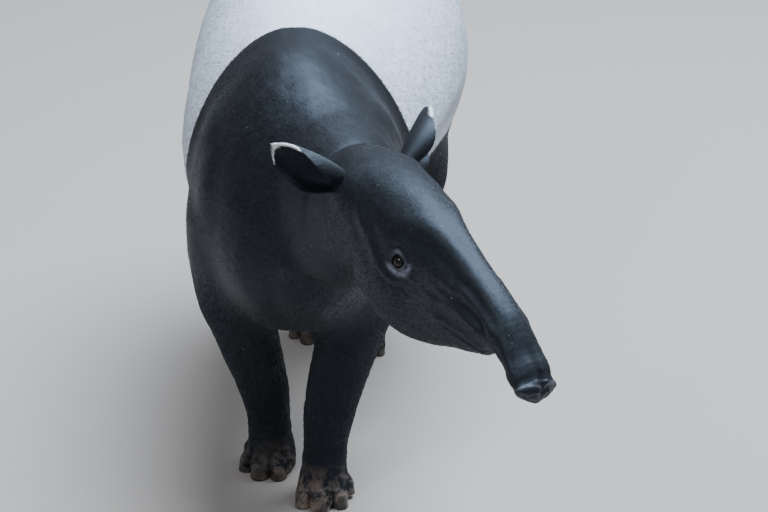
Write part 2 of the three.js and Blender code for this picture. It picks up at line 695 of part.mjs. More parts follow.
// Head.
const headBox = new THREE.Box3();
for (const f of [-80, 610]) {
  for (const l of [-135, 135]) {
    for (const u of [-330, 30]) headBox.expandByPoint(new THREE.Vector3(...headPoint(f, l, u)));
  }
}
const [headWhole, headSkin, headInset] = regionSolids(
  neckAndHead, headBox.min.toArray(), headBox.max.toArray(), headCell, [0, jointGap + 0.1, -2.5],
);
let headSolid = headWhole;
for (const [name, sign] of [["left", 1], ["right", -1]]) {
  const at = headSpot(eyeSpot, sign);
  const ballOf = (radius) => stretchedBall(at, [radius, radius, radius], headAxes, 14, 10);
  const opening = new THREE.Shape();
  opening.moveTo(-lidOpening.length / 2, 0);
  opening.quadraticCurveTo(0, 2 * sign * lidOpening.upper, lidOpening.length / 2, 0);
  opening.quadraticCurveTo(0, -2 * sign * lidOpening.lower, -lidOpening.length / 2, 0);
  const cut = { depth: 60, bevelEnabled: false, steps: 1, curveSegments: 5 };
  const slit = new THREE.ExtrudeGeometry(opening, cut);
  const out = headAim(eyeLooks, sign);
  const level = out.clone().cross(new THREE.Vector3(...headUp)).normalize().multiplyScalar(-sign);
  const high = out.clone().cross(level).multiplyScalar(sign);
  const tilt = THREE.MathUtils.degToRad(lidOpening.tilt);
  const long = level.clone().multiplyScalar(Math.cos(tilt)).addScaledVector(high, Math.sin(tilt));
  const frame = new THREE.Matrix4().makeBasis(long, out.clone().cross(long), out).setPosition(...at);
  headSolid = headSolid.add(ballOf(eyeRadius + lidThickness));
  headSolid = headSolid.subtract(ballOf(eyeRadius + jointGap + 0.1));
  headSolid = headSolid.subtract(solidFromGeometry(slit, frame));
  addNode(`eye_${name}`, ballOf(eyeRadius), eyeBrown, 0.1);
  addNode(`ear_${name}`, earSolid(sign).subtract(headSkin).subtract(bodySkin), black);
}
for (const sign of [1, -1]) {
  const at = plus(tipAt, scaled(tipSide, sign * 24));
  const nostril = stretchedBall(at, [14, 14, 7], [tipForward, tipSide, tipUp], 10, 6);
  headSolid = headSolid.subtract(nostril);
}
headSolid = keepAhead(headSolid, headCut.point, headCut.normal);
const jawSolid = keepBehind(headInset.intersect(jawSlab(0)), snoutCut.point, snoutCut.normal);
addNode("lower_jaw", keepAhead(jawSolid, headCut.point, headCut.normal), black);
const upperHead = headSolid.subtract(jawSlab(jointGap));
addNode("head", keepBehind(upperHead, snoutCut.point, snoutCut.normal), black);
addNode("proboscis", keepAhead(headSolid, snoutCut.point, snoutCut.normal), black);

// The nail of a toe: the front of an upright oval that spreads towards the ground, its top edge sloping
// down to the sides.
function nailSolid(toe, extra) {
  const [long, wide, high] = toe.size;
  const [ahead, across] = toe.axes;
  const low = Math.max(toe.at[2] - high + 1, 1) - 3 * extra;
  const top = toe.at[2] + 0.62 * high + extra;
  const place = new THREE.Matrix4().makeBasis(
    new THREE.Vector3(...ahead).multiplyScalar(long + 1 + extra),
    new THREE.Vector3(...across).multiplyScalar(0.98 * wide + extra),
    new THREE.Vector3(0, 0, top - low),
  ).setPosition(toe.at[0], toe.at[1], (low + top) / 2);
  const oval = new THREE.CylinderGeometry(0.84, 1.04, 1, 12).rotateX(Math.PI / 2);
  const whole = solidFromGeometry(oval, place);
  const front = keepAhead(whole, plus(toe.at, scaled(ahead, long * 0.3 - extra)), ahead);
  const slope = plus(scaled(ahead, -0.45), up);
  return keepBehind(front, [toe.at[0] + ahead[0] * long, toe.at[1] + ahead[1] * long, top], slope);
}

// Legs and feet, with a nail on the front of each toe.
for (const [name, leg] of Object.entries(legs)) {
  const field = (x, y, z) => melt(torsoField(x, y, z), leg.field(x, y, z), 70);
  const kind = name.slice(0, 4);
  const [x, y] = leg.sole;
  const middle = leg.sign * 100;
  const min = [Math.min(x, middle) - 140, y - 190, ankle[2] - 20];
  const max = [Math.max(x, middle) + 140, y + 190, elbow[kind][2] + 20];
  const [shank] = regionSolids(field, min, max, legCell);
  addNode(`leg_${name}`, keepAhead(keepBehind(shank, elbow[kind], up), ankle, up), black);
  const footMin = [x - 120, y - 140, -20];
  const footMax = [x + 120, y + 120, ankle[2] + 20];
  let [foot] = regionSolids(field, footMin, footMax, footCell);
  foot = keepAhead(keepBehind(foot, ankle, up), [0, 0, -jointGap / 2], up);
  leg.toes.forEach((toe, i) => {
    addNode(`nail_${name}_${i + 1}`, nailSolid(toe, 0), horn, 0.6);
    foot = foot.subtract(nailSolid(toe, jointGap + 0.1));
  });
  addNode(`foot_${name}`, foot, black);
}

// The part's origin is the middle of the underside of its box.
const part = new THREE.Group();
part.name = "tapir";
for (const node of nodes) part.add(node);
const box = new THREE.Box3().setFromObject(part);
const middle = box.getCenter(new THREE.Vector3());
for (const node of nodes) node.geometry.translate(-middle.x, -middle.y, -box.min.z);
export default part;
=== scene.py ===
import math
import bpy
import numpy as np
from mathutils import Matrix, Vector


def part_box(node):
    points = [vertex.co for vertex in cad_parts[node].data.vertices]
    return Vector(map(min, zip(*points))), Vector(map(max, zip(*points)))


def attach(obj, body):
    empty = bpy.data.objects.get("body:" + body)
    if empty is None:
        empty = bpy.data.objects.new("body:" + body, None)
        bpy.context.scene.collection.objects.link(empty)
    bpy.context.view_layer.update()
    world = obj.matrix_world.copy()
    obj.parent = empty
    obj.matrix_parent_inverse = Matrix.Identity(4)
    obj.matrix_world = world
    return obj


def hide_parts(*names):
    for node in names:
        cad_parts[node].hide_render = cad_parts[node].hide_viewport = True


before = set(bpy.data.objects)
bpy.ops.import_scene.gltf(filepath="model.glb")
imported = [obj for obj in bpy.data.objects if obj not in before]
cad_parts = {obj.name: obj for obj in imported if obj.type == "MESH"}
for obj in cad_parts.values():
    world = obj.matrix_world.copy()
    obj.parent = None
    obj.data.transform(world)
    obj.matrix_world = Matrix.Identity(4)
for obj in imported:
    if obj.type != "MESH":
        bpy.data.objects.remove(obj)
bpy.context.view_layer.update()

# The flesh is one smooth field: rows of cross-sections in metres that melt into each other, in the
# maker's frame, where the animal faces -Y, its left side is +X and the floor is z = 0.
fleshForm = {
    # y, middle x, widest level, half width, reach up, reach down, fullness of the upper and lower half
    "barrel": [
        (-0.25, 0.026, 0.645, 0.008, 0.01, 0.01, 1.87, 2.02),
        (-0.235, 0.025, 0.646, 0.062, 0.072, 0.068, 1.87, 2.02),
        (-0.205, 0.024, 0.648, 0.115, 0.13, 0.122, 1.87, 2.02),
        (-0.12, 0.014, 0.655, 0.17, 0.232, 0.21, 1.77, 2.02),
        (0, 0, 0.662, 0.203, 0.312, 0.248, 1.62, 1.97),
        (0.12, -0.018, 0.675, 0.232, 0.323, 0.267, 1.52, 1.77),
        (0.26, -0.018, 0.705, 0.266, 0.289, 0.311, 1.57, 1.47),
        (0.42, -0.012, 0.73, 0.289, 0.264, 0.342, 1.72, 1.37),
        (0.56, -0.011, 0.732, 0.305, 0.282, 0.322, 1.92, 1.37),
        (0.7, -0.011, 0.722, 0.306, 0.316, 0.262, 2.12, 1.97),
        (0.83, -0.007, 0.715, 0.284, 0.312, 0.205, 2.22, 2.02),
        (0.93, -0.002, 0.725, 0.216, 0.256, 0.165, 2.07, 2.02),
        (1, 0, 0.735, 0.134, 0.166, 0.11, 1.97, 2.02),
        (1.035, 0, 0.74, 0.042, 0.058, 0.048, 1.87, 2.02),
    ],
    # z, middle x, y, half width, reach forward, reach back
    "foreLeg": [
        (0.64, 0.148, 0.01, 0.06, 0.07, 0.08),
        (0.54, 0.14, 0.015, 0.076, 0.098, 0.105),
        (0.44, 0.13, 0.01, 0.08, 0.092, 0.1),
        (0.36, 0.112, 0, 0.071, 0.074, 0.078),
        (0.28, 0.092, -0.006, 0.063, 0.06, 0.058),
        (0.21, 0.077, -0.01, 0.058, 0.052, 0.046),
        (0.14, 0.068, -0.008, 0.05, 0.044, 0.044),
        (0.08, 0.064, -0.01, 0.05, 0.05, 0.052),
        (0.03, 0.062, -0.018, 0.056, 0.056, 0.056),
        (-0.03, 0.062, -0.02, 0.054, 0.052, 0.052),
    ],
    "hindLeg": [
        (0.76, 0.12, 0.86, 0.06, 0.11, 0.09),
        (0.66, 0.15, 0.84, 0.099, 0.155, 0.13),
        (0.56, 0.144, 0.8, 0.098, 0.158, 0.14),
        (0.46, 0.15, 0.77, 0.1, 0.13, 0.125),
        (0.38, 0.148, 0.776, 0.091, 0.09, 0.093),
        (0.31, 0.115, 0.798, 0.061, 0.058, 0.063),
        (0.24, 0.087, 0.792, 0.045, 0.046, 0.044),
        (0.16, 0.074, 0.764, 0.042, 0.042, 0.042),
        (0.09, 0.068, 0.744, 0.046, 0.048, 0.05),
        (0.035, 0.064, 0.732, 0.054, 0.056, 0.056),
        (-0.03, 0.064, 0.73, 0.052, 0.052, 0.054),
    ],
    # distance along the neck, side, up, half width, reach up, reach down
    "neck": [
        (-0.06, 0, 0, 0.12, 0.17, 0.17),
        (0.06, 0, 0, 0.178, 0.232, 0.225),
        (0.17, 0, 0.005, 0.164, 0.205, 0.21),
        (0.28, 0, 0.005, 0.138, 0.168, 0.188),
        (0.38, 0, 0, 0.112, 0.136, 0.162),
        (0.45, 0, 0, 0.07, 0.09, 0.1),
    ],
    "neckFrom": (0, 0.09, 0.705),
    "neckTo": (0.18, -0.285, 0.81),
    # forward of the crown, widest level, half width, reach up, reach down
    "skull": [
        (-0.11, -0.12, 0.05, 0.06, 0.06),
        (-0.07, -0.112, 0.082, 0.1, 0.11),
        (0, -0.105, 0.097, 0.107, 0.13),
        (0.09, -0.105, 0.095, 0.106, 0.14),
        (0.165, -0.11, 0.084, 0.098, 0.13),
        (0.24, -0.118, 0.067, 0.085, 0.105),
        (0.32, -0.136, 0.055, 0.073, 0.08),
        (0.4, -0.158, 0.048, 0.064, 0.06),
        (0.44, -0.17, 0.045, 0.057, 0.046),
        (0.475, -0.184, 0.043, 0.049, 0.032),
        (0.525, -0.212, 0.042, 0.024, 0.027),
        (0.545, -0.224, 0.036, 0.014, 0.022),
        (0.556, -0.232, 0.026, 0.006, 0.014),
    ],
    # the drooping end of the snout along its own axis: side, up, half width, reach up and down
    "snoutTip": [
        (-0.05, 0, 0, 0.037, 0.03, 0.014),
        (-0.028, 0, 0.004, 0.041, 0.024, 0.022),
        (-0.013, 0, 0.01, 0.049, 0.014, 0.027),
        (0, 0, 0.012, 0.034, 0.007, 0.025),
    ],
    "tipDroop": 30,
    "tipRoll": 13,
    "tipEnd": (0.559, 0, -0.2563),
    "jaw": [
        (0.01, -0.2, 0.04, 0.04, 0.05),
        (0.07, -0.205, 0.07, 0.07, 0.108),
        (0.14, -0.21, 0.07, 0.07, 0.116),
        (0.22, -0.212, 0.055, 0.06, 0.098),
        (0.3, -0.214, 0.042, 0.044, 0.066),
        (0.37, -0.217, 0.034, 0.032, 0.038),
        (0.41, -0.218, 0.026, 0.02, 0.022),
    ],
    "headAt": (0.215, -0.332, 0.952),
    "headTurn": 39.2,
    "headDip": 2,
    "shoulderAt": (0.144, 0.04, 0.67),
    "shoulderRadii": (0.056, 0.14, 0.18),
    "cheekAt": (0.11, 0.052, -0.185),
    "cheekRadii": (0.08, 0.036, 0.072),
}
legForm = {
    "fore_left": {"rows": "foreLeg", "sign": 1, "ahead": 0.015, "inset": -0.002, "turnOut": 4, "toes": 4},
    "fore_right": {"rows": "foreLeg", "sign": -1, "ahead": -0.103, "inset": 0.011, "turnOut": 20, "toes": 4},
    "hind_left": {"rows": "hindLeg", "sign": 1, "ahead": 0.06, "inset": -0.008, "turnOut": 6, "toes": 3},
    "hind_right": {"rows": "hindLeg", "sign": -1, "ahead": 0, "inset": 0.004, "turnOut": 10, "toes": 3},
}
toeForm = {
    # ahead, out, up, size, spread in degrees
    4: [
        (0.046, -0.002, 0.02, (0.028, 0.0225, 0.026), 0),
        (0.032, -0.0365, 0.019, (0.026, 0.0195, 0.024), -24),
        (0.03, 0.0355, 0.019, (0.026, 0.0195, 0.024), 26),
        (-0.008, 0.05, 0.03, (0.02, 0.0135, 0.02), 50),
    ],
    3: [
        (0.048, 0, 0.02, (0.028, 0.021, 0.026), 0),
        (0.032, -0.034, 0.019, (0.025, 0.018, 0.023), -22),
        (0.032, 0.034, 0.019, (0.025, 0.018, 0.023), 22),
    ],
}
meltWidth = {
    "leg": 0.07, "head": 0.07, "neck": 0.09, "shoulder": 0.05,
    "jaw": 0.04, "cheek": 0.03, "tip": 0.03, "toe": 0.018,
}
rowSteps = 160
ridgeRound = 0.15  # share of the half width over which the crown of a cross-section is rounded
bodyMiddle = -0.008  # x of the plane that parts left from right


def unit(v):
    v = np.array(v, float)
    return v / np.linalg.norm(v)


def unitRows(v):
    return v / np.maximum(np.linalg.norm(v, axis=-1), 1e-9)[..., None]


def ramp(value, start, over):
    # Rises from 0 to 1 over a stretch after its start, or before it where the stretch is negative
    return np.clip((value - start) / over, 0, 1)


def eased(share):
    return share * share * (3 - 2 * share)


def bell(value, width):
    return np.exp(-(value / width) ** 2)


headTurn = math.radians(fleshForm["headTurn"])
headDip = math.radians(fleshForm["headDip"])
headForward = np.array([
    math.sin(headTurn) * math.cos(headDip),
    -math.cos(headTurn) * math.cos(headDip),
    -math.sin(headDip),
])
headLeft = np.array([math.cos(headTurn), math.sin(headTurn), 0])
headUp = np.cross(headForward, headLeft)
headAxes = np.array([headForward, headLeft, headUp])
headAt = np.array(fleshForm["headAt"])
neckFrom = np.array(fleshForm["neckFrom"])
neckAlong = unit(np.array(fleshForm["neckTo"]) - neckFrom)
neckSide = unit((-neckAlong[1], neckAlong[0], 0))
neckUp = np.cross(neckAlong, neckSide)
if neckUp[2] < 0:
    neckUp = -neckUp


def headPoint(forward, left, up):
    return headAt + forward * headForward + left * headLeft + up * headUp


def inHead(p):
    return (p - headAt) @ headAxes.T


def smoothRows(rows):
    # A smooth curve through the rows, read at even steps
    rows = np.array(rows, float)
    steps = np.linspace(rows[0, 0], rows[-1, 0], rowSteps + 1)
    direction = np.sign(rows[-1, 0] - rows[0, 0])
    k = np.clip(np.searchsorted(direction * rows[:, 0], direction * steps, side="left") - 1, 0, len(rows) - 2)
    a, b = rows[np.maximum(k - 1, 0)], rows[k]
    c, d = rows[k + 1], rows[np.minimum(k + 2, len(rows) - 1)]
    span = (c[:, :1] - b[:, :1])
    u = (steps[:, None] - b[:, :1]) / span
    mb = (c - a) / (c[:, :1] - a[:, :1]) * span
    mc = (d - b) / (d[:, :1] - b[:, :1]) * span
    table = (2 * u**3 - 3 * u**2 + 1) * b + (u**3 - 2 * u**2 + u) * mb
    table += (3 * u**2 - 2 * u**3) * c + (u**3 - u**2) * mc
    table[:, 0] = steps
    return table


def rowForm(rows, origin, along, side, up, power):
    # Signed distance to a body of oval cross-sections strung along one axis
    table = smoothRows(rows)
    start, step = table[0, 0], (table[-1, 0] - table[0, 0]) / rowSteps

    def rounded(share):
        # Share of the way from the middle to the side, without a ridge at the middle
        return (np.hypot(share, ridgeRound) - ridgeRound) / (math.hypot(1, ridgeRound) - ridgeRound)

    def form(p):
        d = p - origin
        place = (d @ along - start) / step
        inside = np.clip(place, 0, rowSteps)
        row = [np.interp(inside, np.arange(rowSteps + 1), column) for column in table.T[1:]]
        s = d @ side - row[0]
        u = d @ up - row[1]
        reach = np.where(u > 0, row[3], row[4])
        full, aside = power, np.abs(s / row[2])
        if len(row) > 6:
            full, aside = np.where(u > 0, row[5], row[6]), rounded(aside)
        r = (aside ** full + np.abs(u / reach) ** full) ** (1 / full)
        r = np.maximum(r, 1e-6)
        across = np.maximum(np.hypot(s, u) * (1 - 1 / r), -np.minimum(row[2], reach))
        past = np.abs(place - inside) * abs(step)
        return np.where(past > 0, np.hypot(np.maximum(across, 0), past), across)

    return form


def ballForm(at, radii, axes=np.eye(3)):
    at, radii = np.array(at, float), np.array(radii, float)

    def form(p):
        q = ((p - at) @ axes.T) / radii
        r = np.sqrt((q * q).sum(-1))
        steep = np.sqrt(((q / radii) ** 2).sum(-1))
        return np.where(steep < 1e-6, -radii.min(), r * (r - 1) / np.maximum(steep, 1e-6))

    return form


def melt(a, b, width):
    h = np.maximum(width - np.abs(a - b), 0) / width
    return np.minimum(a, b) - h * h * width / 4


def placeLeg(leg):
    table = fleshForm[leg["rows"]]
    top = table[0][0]
    rows = []
    for z, x, y, width, front, back in table:
        drop = eased(ramp(top - z, 0.06, top - 0.12))
        rows.append((z, leg["sign"] * (x + leg["inset"] * drop), leg["ahead"] * drop - y, width, front, back))
    heading = math.radians(leg["turnOut"]) * leg["sign"]
    forward = np.array([math.sin(heading), -math.cos(heading), 0])
    out = np.array([math.cos(heading), math.sin(heading), 0]) * leg["sign"]
    sole = np.array([rows[-2][1], -rows[-2][2], 0])
    toes = []
    for ahead, aside, high, size, spread in toeForm[leg["toes"]]:
        swing = math.radians(spread)
        axis = forward * math.cos(swing) + out * math.sin(swing)
        axes = np.array([axis, (-axis[1], axis[0], 0), (0, 0, 1)])
        at = sole + forward * ahead + out * aside + [0, 0, high]
        toes.append({"at": at, "size": np.array(size), "axes": axes})
    shaft = rowForm(rows, np.zeros(3), np.array([0, 0, 1]), np.array([1, 0, 0]), np.array([0, -1, 0]), 2.1)
    toeBalls = [ballForm(toe["at"], toe["size"], toe["axes"]) for toe in toes]

    def form(p):
        value = shaft(p)
        low = p[:, 2] < 0.13
        if low.any():
            part, at = value[low], p[low]
            for toe in toeBalls:
                part = melt(part, toe(at), meltWidth["toe"])
            value[low] = part
        return value

    return {**leg, "rows": rows, "sole": sole, "forward": forward, "out": out, "toes": toes, "form": form}


worldX, worldY, worldZ = np.eye(3)
barrel = rowForm(fleshForm["barrel"], np.zeros(3), worldY, worldX, worldZ, 2.15)
neckTube = rowForm(fleshForm["neck"], neckFrom, neckAlong, neckSide, neckUp, 2.1)
skull, jaw = (
    rowForm([(f, 0, *rest) for f, *rest in fleshForm[name]], headAt, headForward, headLeft, headUp, power)
    for name, power in (("skull", 2.2), ("jaw", 2.1))
)
droop = math.radians(fleshForm["tipDroop"])
tipForward = headForward * math.cos(droop) - headUp * math.sin(droop)
level = headForward * math.sin(droop) + headUp * math.cos(droop)
roll = math.radians(fleshForm["tipRoll"])
tipSide = headLeft * math.cos(roll) - level * math.sin(roll)
tipUp = level * math.cos(roll) + headLeft * math.sin(roll)
tipAxes = np.array([tipForward, tipSide, tipUp])
tipAt = headPoint(*fleshForm["tipEnd"])
snoutTip = rowForm(fleshForm["snoutTip"], tipAt, tipForward, tipSide, tipUp, 2.2)
legs = {name: placeLeg(leg) for name, leg in legForm.items()}
mirrorX, mirrorSide = np.array([-1, 1, 1]), np.array([1, -1, 1])
shoulders = [
    ballForm(fleshForm["shoulderAt"], fleshForm["shoulderRadii"]),
    ballForm(mirrorX * fleshForm["shoulderAt"] + [0.002, 0, 0], fleshForm["shoulderRadii"]),
]
cheeks = [
    ballForm(headPoint(*(way * fleshForm["cheekAt"])), fleshForm["cheekRadii"], headAxes)
    for way in (np.ones(3), mirrorSide)
]


def headField(p):
    value = melt(skull(p), jaw(p), meltWidth["jaw"])
    value = melt(value, snoutTip(p), meltWidth["tip"])
    for cheek in cheeks:
        value = melt(value, cheek(p), meltWidth["cheek"])
    return value


def fleshField(p):
    value = barrel(p)
    for shoulder in shoulders:
        value = melt(value, shoulder(p), meltWidth["shoulder"])
    value = melt(value, neckTube(p), meltWidth["neck"])
    near = inHead(p)[:, 0] > -0.45
    if near.any():
        value[near] = melt(value[near], headField(p[near]), meltWidth["head"])
    torso = value.copy()
    for leg in legs.values():
        low = (p[:, 2] < 0.86) & (np.abs(p[:, 1] - leg["sole"][1]) < 0.45)
        if low.any():
            value[low] = np.minimum(value[low], melt(torso[low], leg["form"](p[low]), meltWidth["leg"]))
    return value


def slope(field, p, h=0.0005):
    # Four samples at the corners of a tetrahedron give the gradient
    total = np.zeros_like(p)
    for way in ((1, -1, -1), (-1, -1, 1), (-1, 1, -1), (1, 1, 1)):
        way = np.array(way, float)
        total += way * field(p + h * way)[:, None]
    return total / (4 * h)


def settle(field, p, most, passes=2):
    # Slides points on to the zero level of the field
    for _ in range(passes):
        g = slope(field, p)
        move = field(p) / np.maximum((g * g).sum(1), 0.05)
        p = p - g * np.clip(move, -most, most)[:, None]
    return p


def netOfField(field, low, high, cell):
    # One vertex in each cell that the surface crosses, one quad across each crossed edge
    low = np.array(low, float)
    count = [int(math.ceil((high[i] - low[i]) / cell)) + 1 for i in range(3)]
    axes = [low[i] + np.arange(count[i]) * cell for i in range(3)]
    values = np.empty(count)
    for k in range(count[2]):
        layer = np.stack(np.meshgrid(axes[0], axes[1], [axes[2][k]], indexing="ij"), -1).reshape(-1, 3)
        values[:, :, k] = field(layer).reshape(count[0], count[1])
    inside = values < 0
    corners = [(c & 1, (c >> 1) & 1, (c >> 2) & 1) for c in range(8)]
    cells = tuple(n - 1 for n in count)

    def shifted(grid, c):
        return grid[c[0]:c[0] + cells[0], c[1]:c[1] + cells[1], c[2]:c[2] + cells[2]]

    filled = sum(shifted(inside, c).astype(np.int8) for c in corners)
    crossed = np.argwhere((filled > 0) & (filled < 8))
    index = -np.ones(cells, int)
    index[tuple(crossed.T)] = np.arange(len(crossed))
    total, hits = np.zeros((len(crossed), 3)), np.zeros(len(crossed))
    for a in range(8):
        for bit in (1, 2, 4):
            if a & bit:
                continue
            ca, cb = np.array(corners[a]), np.array(corners[a | bit])
            va = values[tuple((crossed + ca).T)]
            vb = values[tuple((crossed + cb).T)]
            cuts = (va < 0) != (vb < 0)
            share = np.where(cuts, va / np.where(cuts, va - vb, 1), 0)[:, None]
            total += np.where(cuts[:, None], ca + (cb - ca) * share, 0)
            hits += cuts
    points = low + (crossed + total / hits[:, None]) * cell
    quads = []
    for m in range(3):
        ahead = np.roll(inside, -1, axis=m)
        edges = np.argwhere(inside != ahead)
        edges = edges[(edges > 0).all(1) & (edges < np.array(cells)).all(1)]
        p, q = np.eye(3, dtype=int)[(m + 1) % 3], np.eye(3, dtype=int)[(m + 2) % 3]
        ring = [index[tuple((edges - a * p - b * q).T)] for a, b in ((1, 1), (0, 1), (0, 0), (1, 0))]
        ring = np.stack(ring, 1)
        outward = inside[tuple(edges.T)]
        quads.append(np.where(outward[:, None], ring, ring[:, ::-1]))
    return points, np.concatenate(quads)


def edgesOf(faces):
    pairs = np.stack([faces, np.roll(faces, -1, axis=1)], -1).reshape(-1, 2)
    return np.sort(pairs, axis=1)


def evenOut(points, faces, passes=1, strength=0.5):
    # Draws each point towards the middle of its neighbours
    pairs = np.unique(edgesOf(faces), axis=0)
    both = np.concatenate([pairs, pairs[:, ::-1]])
    share = np.bincount(both[:, 0], minlength=len(points))[:, None]
    for _ in range(passes):
        total = np.stack([np.bincount(both[:, 0], points[both[:, 1], i], len(points)) for i in range(3)], 1)
        points = np.where(share > 0, points + strength * (total / np.maximum(share, 1) - points), points)
    return points


def splitQuads(points, quads, patches, picked):
    # Each picked quad becomes four; a quad beside one takes the new points on its edges as a patch
    chosen = quads[picked]
    pairs = edgesOf(chosen)
    size = len(points)
    keys, place = np.unique(pairs[:, 0] * size + pairs[:, 1], return_inverse=True)
    ends = np.stack([keys // size, keys % size], 1)
    middles = size + place.reshape(-1, 4)
    centres = size + len(keys) + np.arange(len(chosen))
    points = np.concatenate([points, points[ends].mean(1), points[chosen].mean(1)])
    parts = [
        np.stack([chosen[:, i], middles[:, i], centres, middles[:, i - 1]], 1)
        for i in range(4)
    ]
    rest = quads[~picked]
    pairs = edgesOf(rest)
    wanted = pairs[:, 0] * size + pairs[:, 1]
    found = np.clip(np.searchsorted(keys, wanted), 0, len(keys) - 1)
    hanging = np.where(keys[found] == wanted, size + found, -1).reshape(-1, 4)
    touched = (hanging >= 0).any(1)
    ringed = np.stack([rest[touched], hanging[touched]], -1).reshape(-1, 8)
    patches = patches + [ring[ring >= 0] for ring in ringed]
    return points, np.concatenate([rest[~touched]] + parts), patches


# Folds of the head, each a line in the head's side view (forward, up) that is laid on the skin of both sides
mouthLine = [
    (0.276, -0.215), (0.3, -0.2145), (0.335, -0.214), (0.381, -0.217), (0.423, -0.225), (0.448, -0.232),
]
headFolds = [
    {"line": [(0.182, -0.08), (0.241, -0.066), (0.305, -0.08), (0.367, -0.109),
              (0.42, -0.138), (0.46, -0.158)],
     "width": 0.018, "height": -0.0042},  # hollow from the brow down the nose
    {"line": [(0.137, -0.056), (0.187, -0.046), (0.238, -0.044), (0.297, -0.06), (0.361, -0.086)],
     "width": 0.02, "height": 0.0026},  # edge of the brow and of the bridge of the nose
    {"line": [(0.342, -0.109), (0.379, -0.118), (0.417, -0.135), (0.449, -0.151), (0.478, -0.168)],
     "width": 0.009, "height": 0.0042},  # fold beside the nose
    {"line": [(0.285, -0.126), (0.337, -0.133), (0.378, -0.14), (0.417, -0.152), (0.456, -0.17)],
     "width": 0.009, "height": -0.003},
    {"line": [(0.25, -0.176), (0.3, -0.165), (0.355, -0.162), (0.404, -0.165), (0.452, -0.177)],
     "width": 0.01, "height": 0.0036},  # top of the upper lip
    {"line": [(0.262, -0.2), (0.3, -0.19), (0.35, -0.187), (0.41, -0.19)],
     "width": 0.007, "height": -0.0014},
    {"line": mouthLine, "width": 0.0045, "height": -0.0026},
    {"line": [(0.27, -0.206), (0.335, -0.204), (0.39, -0.207), (0.436, -0.215)],
     "width": 0.007, "height": 0.0016},  # edge of the upper lip
    {"line": [(0.29, -0.224), (0.335, -0.223), (0.381, -0.226), (0.415, -0.233)],
     "width": 0.007, "height": 0.0012},  # lower lip
    {"line": [(0.27, -0.222), (0.279, -0.211), (0.285, -0.2)],
     "width": 0.006, "height": -0.0016},  # corner of the mouth
    {"line": [(0.066, -0.05), (0.095, -0.08), (0.121, -0.108), (0.145, -0.138), (0.16, -0.172)],
     "width": 0.013, "height": 0.003},  # cheek bone behind the eye
    {"line": [(0.088, -0.04), (0.117, -0.07), (0.141, -0.096)],
     "width": 0.011, "height": -0.001},
    {"line": [(0.152, -0.128), (0.158, -0.146), (0.171, -0.16), (0.189, -0.167),
              (0.209, -0.163), (0.229, -0.147)],
     "width": 0.0065, "height": 0.0022},  # pouch below the eye
    {"line": [(0.158, -0.119), (0.168, -0.103), (0.183, -0.094), (0.2, -0.092),
              (0.217, -0.096), (0.231, -0.106)],
     "width": 0.0055, "height": -0.001},  # fold of the upper lid
    {"line": [(0.16, -0.096), (0.182, -0.083), (0.203, -0.08), (0.226, -0.087)],
     "width": 0.009, "height": 0.0012},
    {"line": [(0.216, -0.127), (0.228, -0.126), (0.242, -0.123)],
     "width": 0.0028, "height": -0.0042},  # slit at the inner corner
    {"line": [(0.216, -0.117), (0.233, -0.115), (0.252, -0.111)],
     "width": 0.0045, "height": 0.0022},
    {"line": [(0.222, -0.137), (0.236, -0.14), (0.248, -0.15)],
     "width": 0.004, "height": -0.0018},
    {"line": [(0.186, -0.172), (0.19, -0.186), (0.2, -0.198)],
     "width": 0.004, "height": -0.0016},  # small creases that run down from the pouch
    {"line": [(0.206, -0.17), (0.213, -0.184), (0.226, -0.194)],
     "width": 0.004, "height": -0.0016},
    {"line": [(0.02, -0.09), (0.036, -0.13), (0.04, -0.175), (0.026, -0.22), (-0.004, -0.26)],
     "width": 0.018, "height": -0.0015},  # edge of the jaw muscle
    {"line": [(0.06, -0.29), (0.13, -0.285), (0.19, -0.27), (0.24, -0.252)],
     "width": 0.01, "height": 0.0025},  # rim of the jaw
    {"line": [(0.47, -0.178), (0.5, -0.199), (0.53, -0.218), (0.556, -0.232)],
     "width": 0.006, "height": -0.0012},
    {"line": [(0.052, -0.03), (0.042, -0.056), (0.046, -0.082)],
     "width": 0.006, "height": -0.001},  # creases before the ear
    {"line": [(0.068, -0.028), (0.06, -0.056), (0.063, -0.084)],
     "width": 0.006, "height": -0.0008},
    {"line": [(0.036, -0.022), (0.026, -0.05), (0.03, -0.078)],
     "width": 0.007, "height": -0.001},
]
# Soft swellings and hollows: place, radii and height, in the head's frame
headSwellings = [
    {"at": (0.196, 0.07, -0.126), "radii": (0.034, 0.03, 0.03), "height": 0.0035},  # ring of the eye
    {"at": (0.25, 0.05, -0.092), "radii": (0.055, 0.03, 0.026), "height": -0.0045},
    {"at": (0.29, 0.055, -0.2), "radii": (0.03, 0.03, 0.03), "height": 0.003},
    {"at": (0.15, 0.08, -0.17), "radii": (0.045, 0.03, 0.04), "height": 0.003},
    {"at": (0.01, 0.064, -0.05), "radii": (0.036, 0.034, 0.034), "height": 0.012},  # root of the ear
    {"at": (0.2, 0, -0.02), "radii": (0.11, 0.05, 0.03), "height": 0.004},  # rise of the forehead
    {"at": (0.345, 0.03, -0.24), "radii": (0.03, 0.03, 0.02), "height": 0.0035},  # chin
    {"at": (0.562, 0, -0.262), "radii": (0.02, 0.011, 0.012), "height": 0.006},  # finger of the snout
]
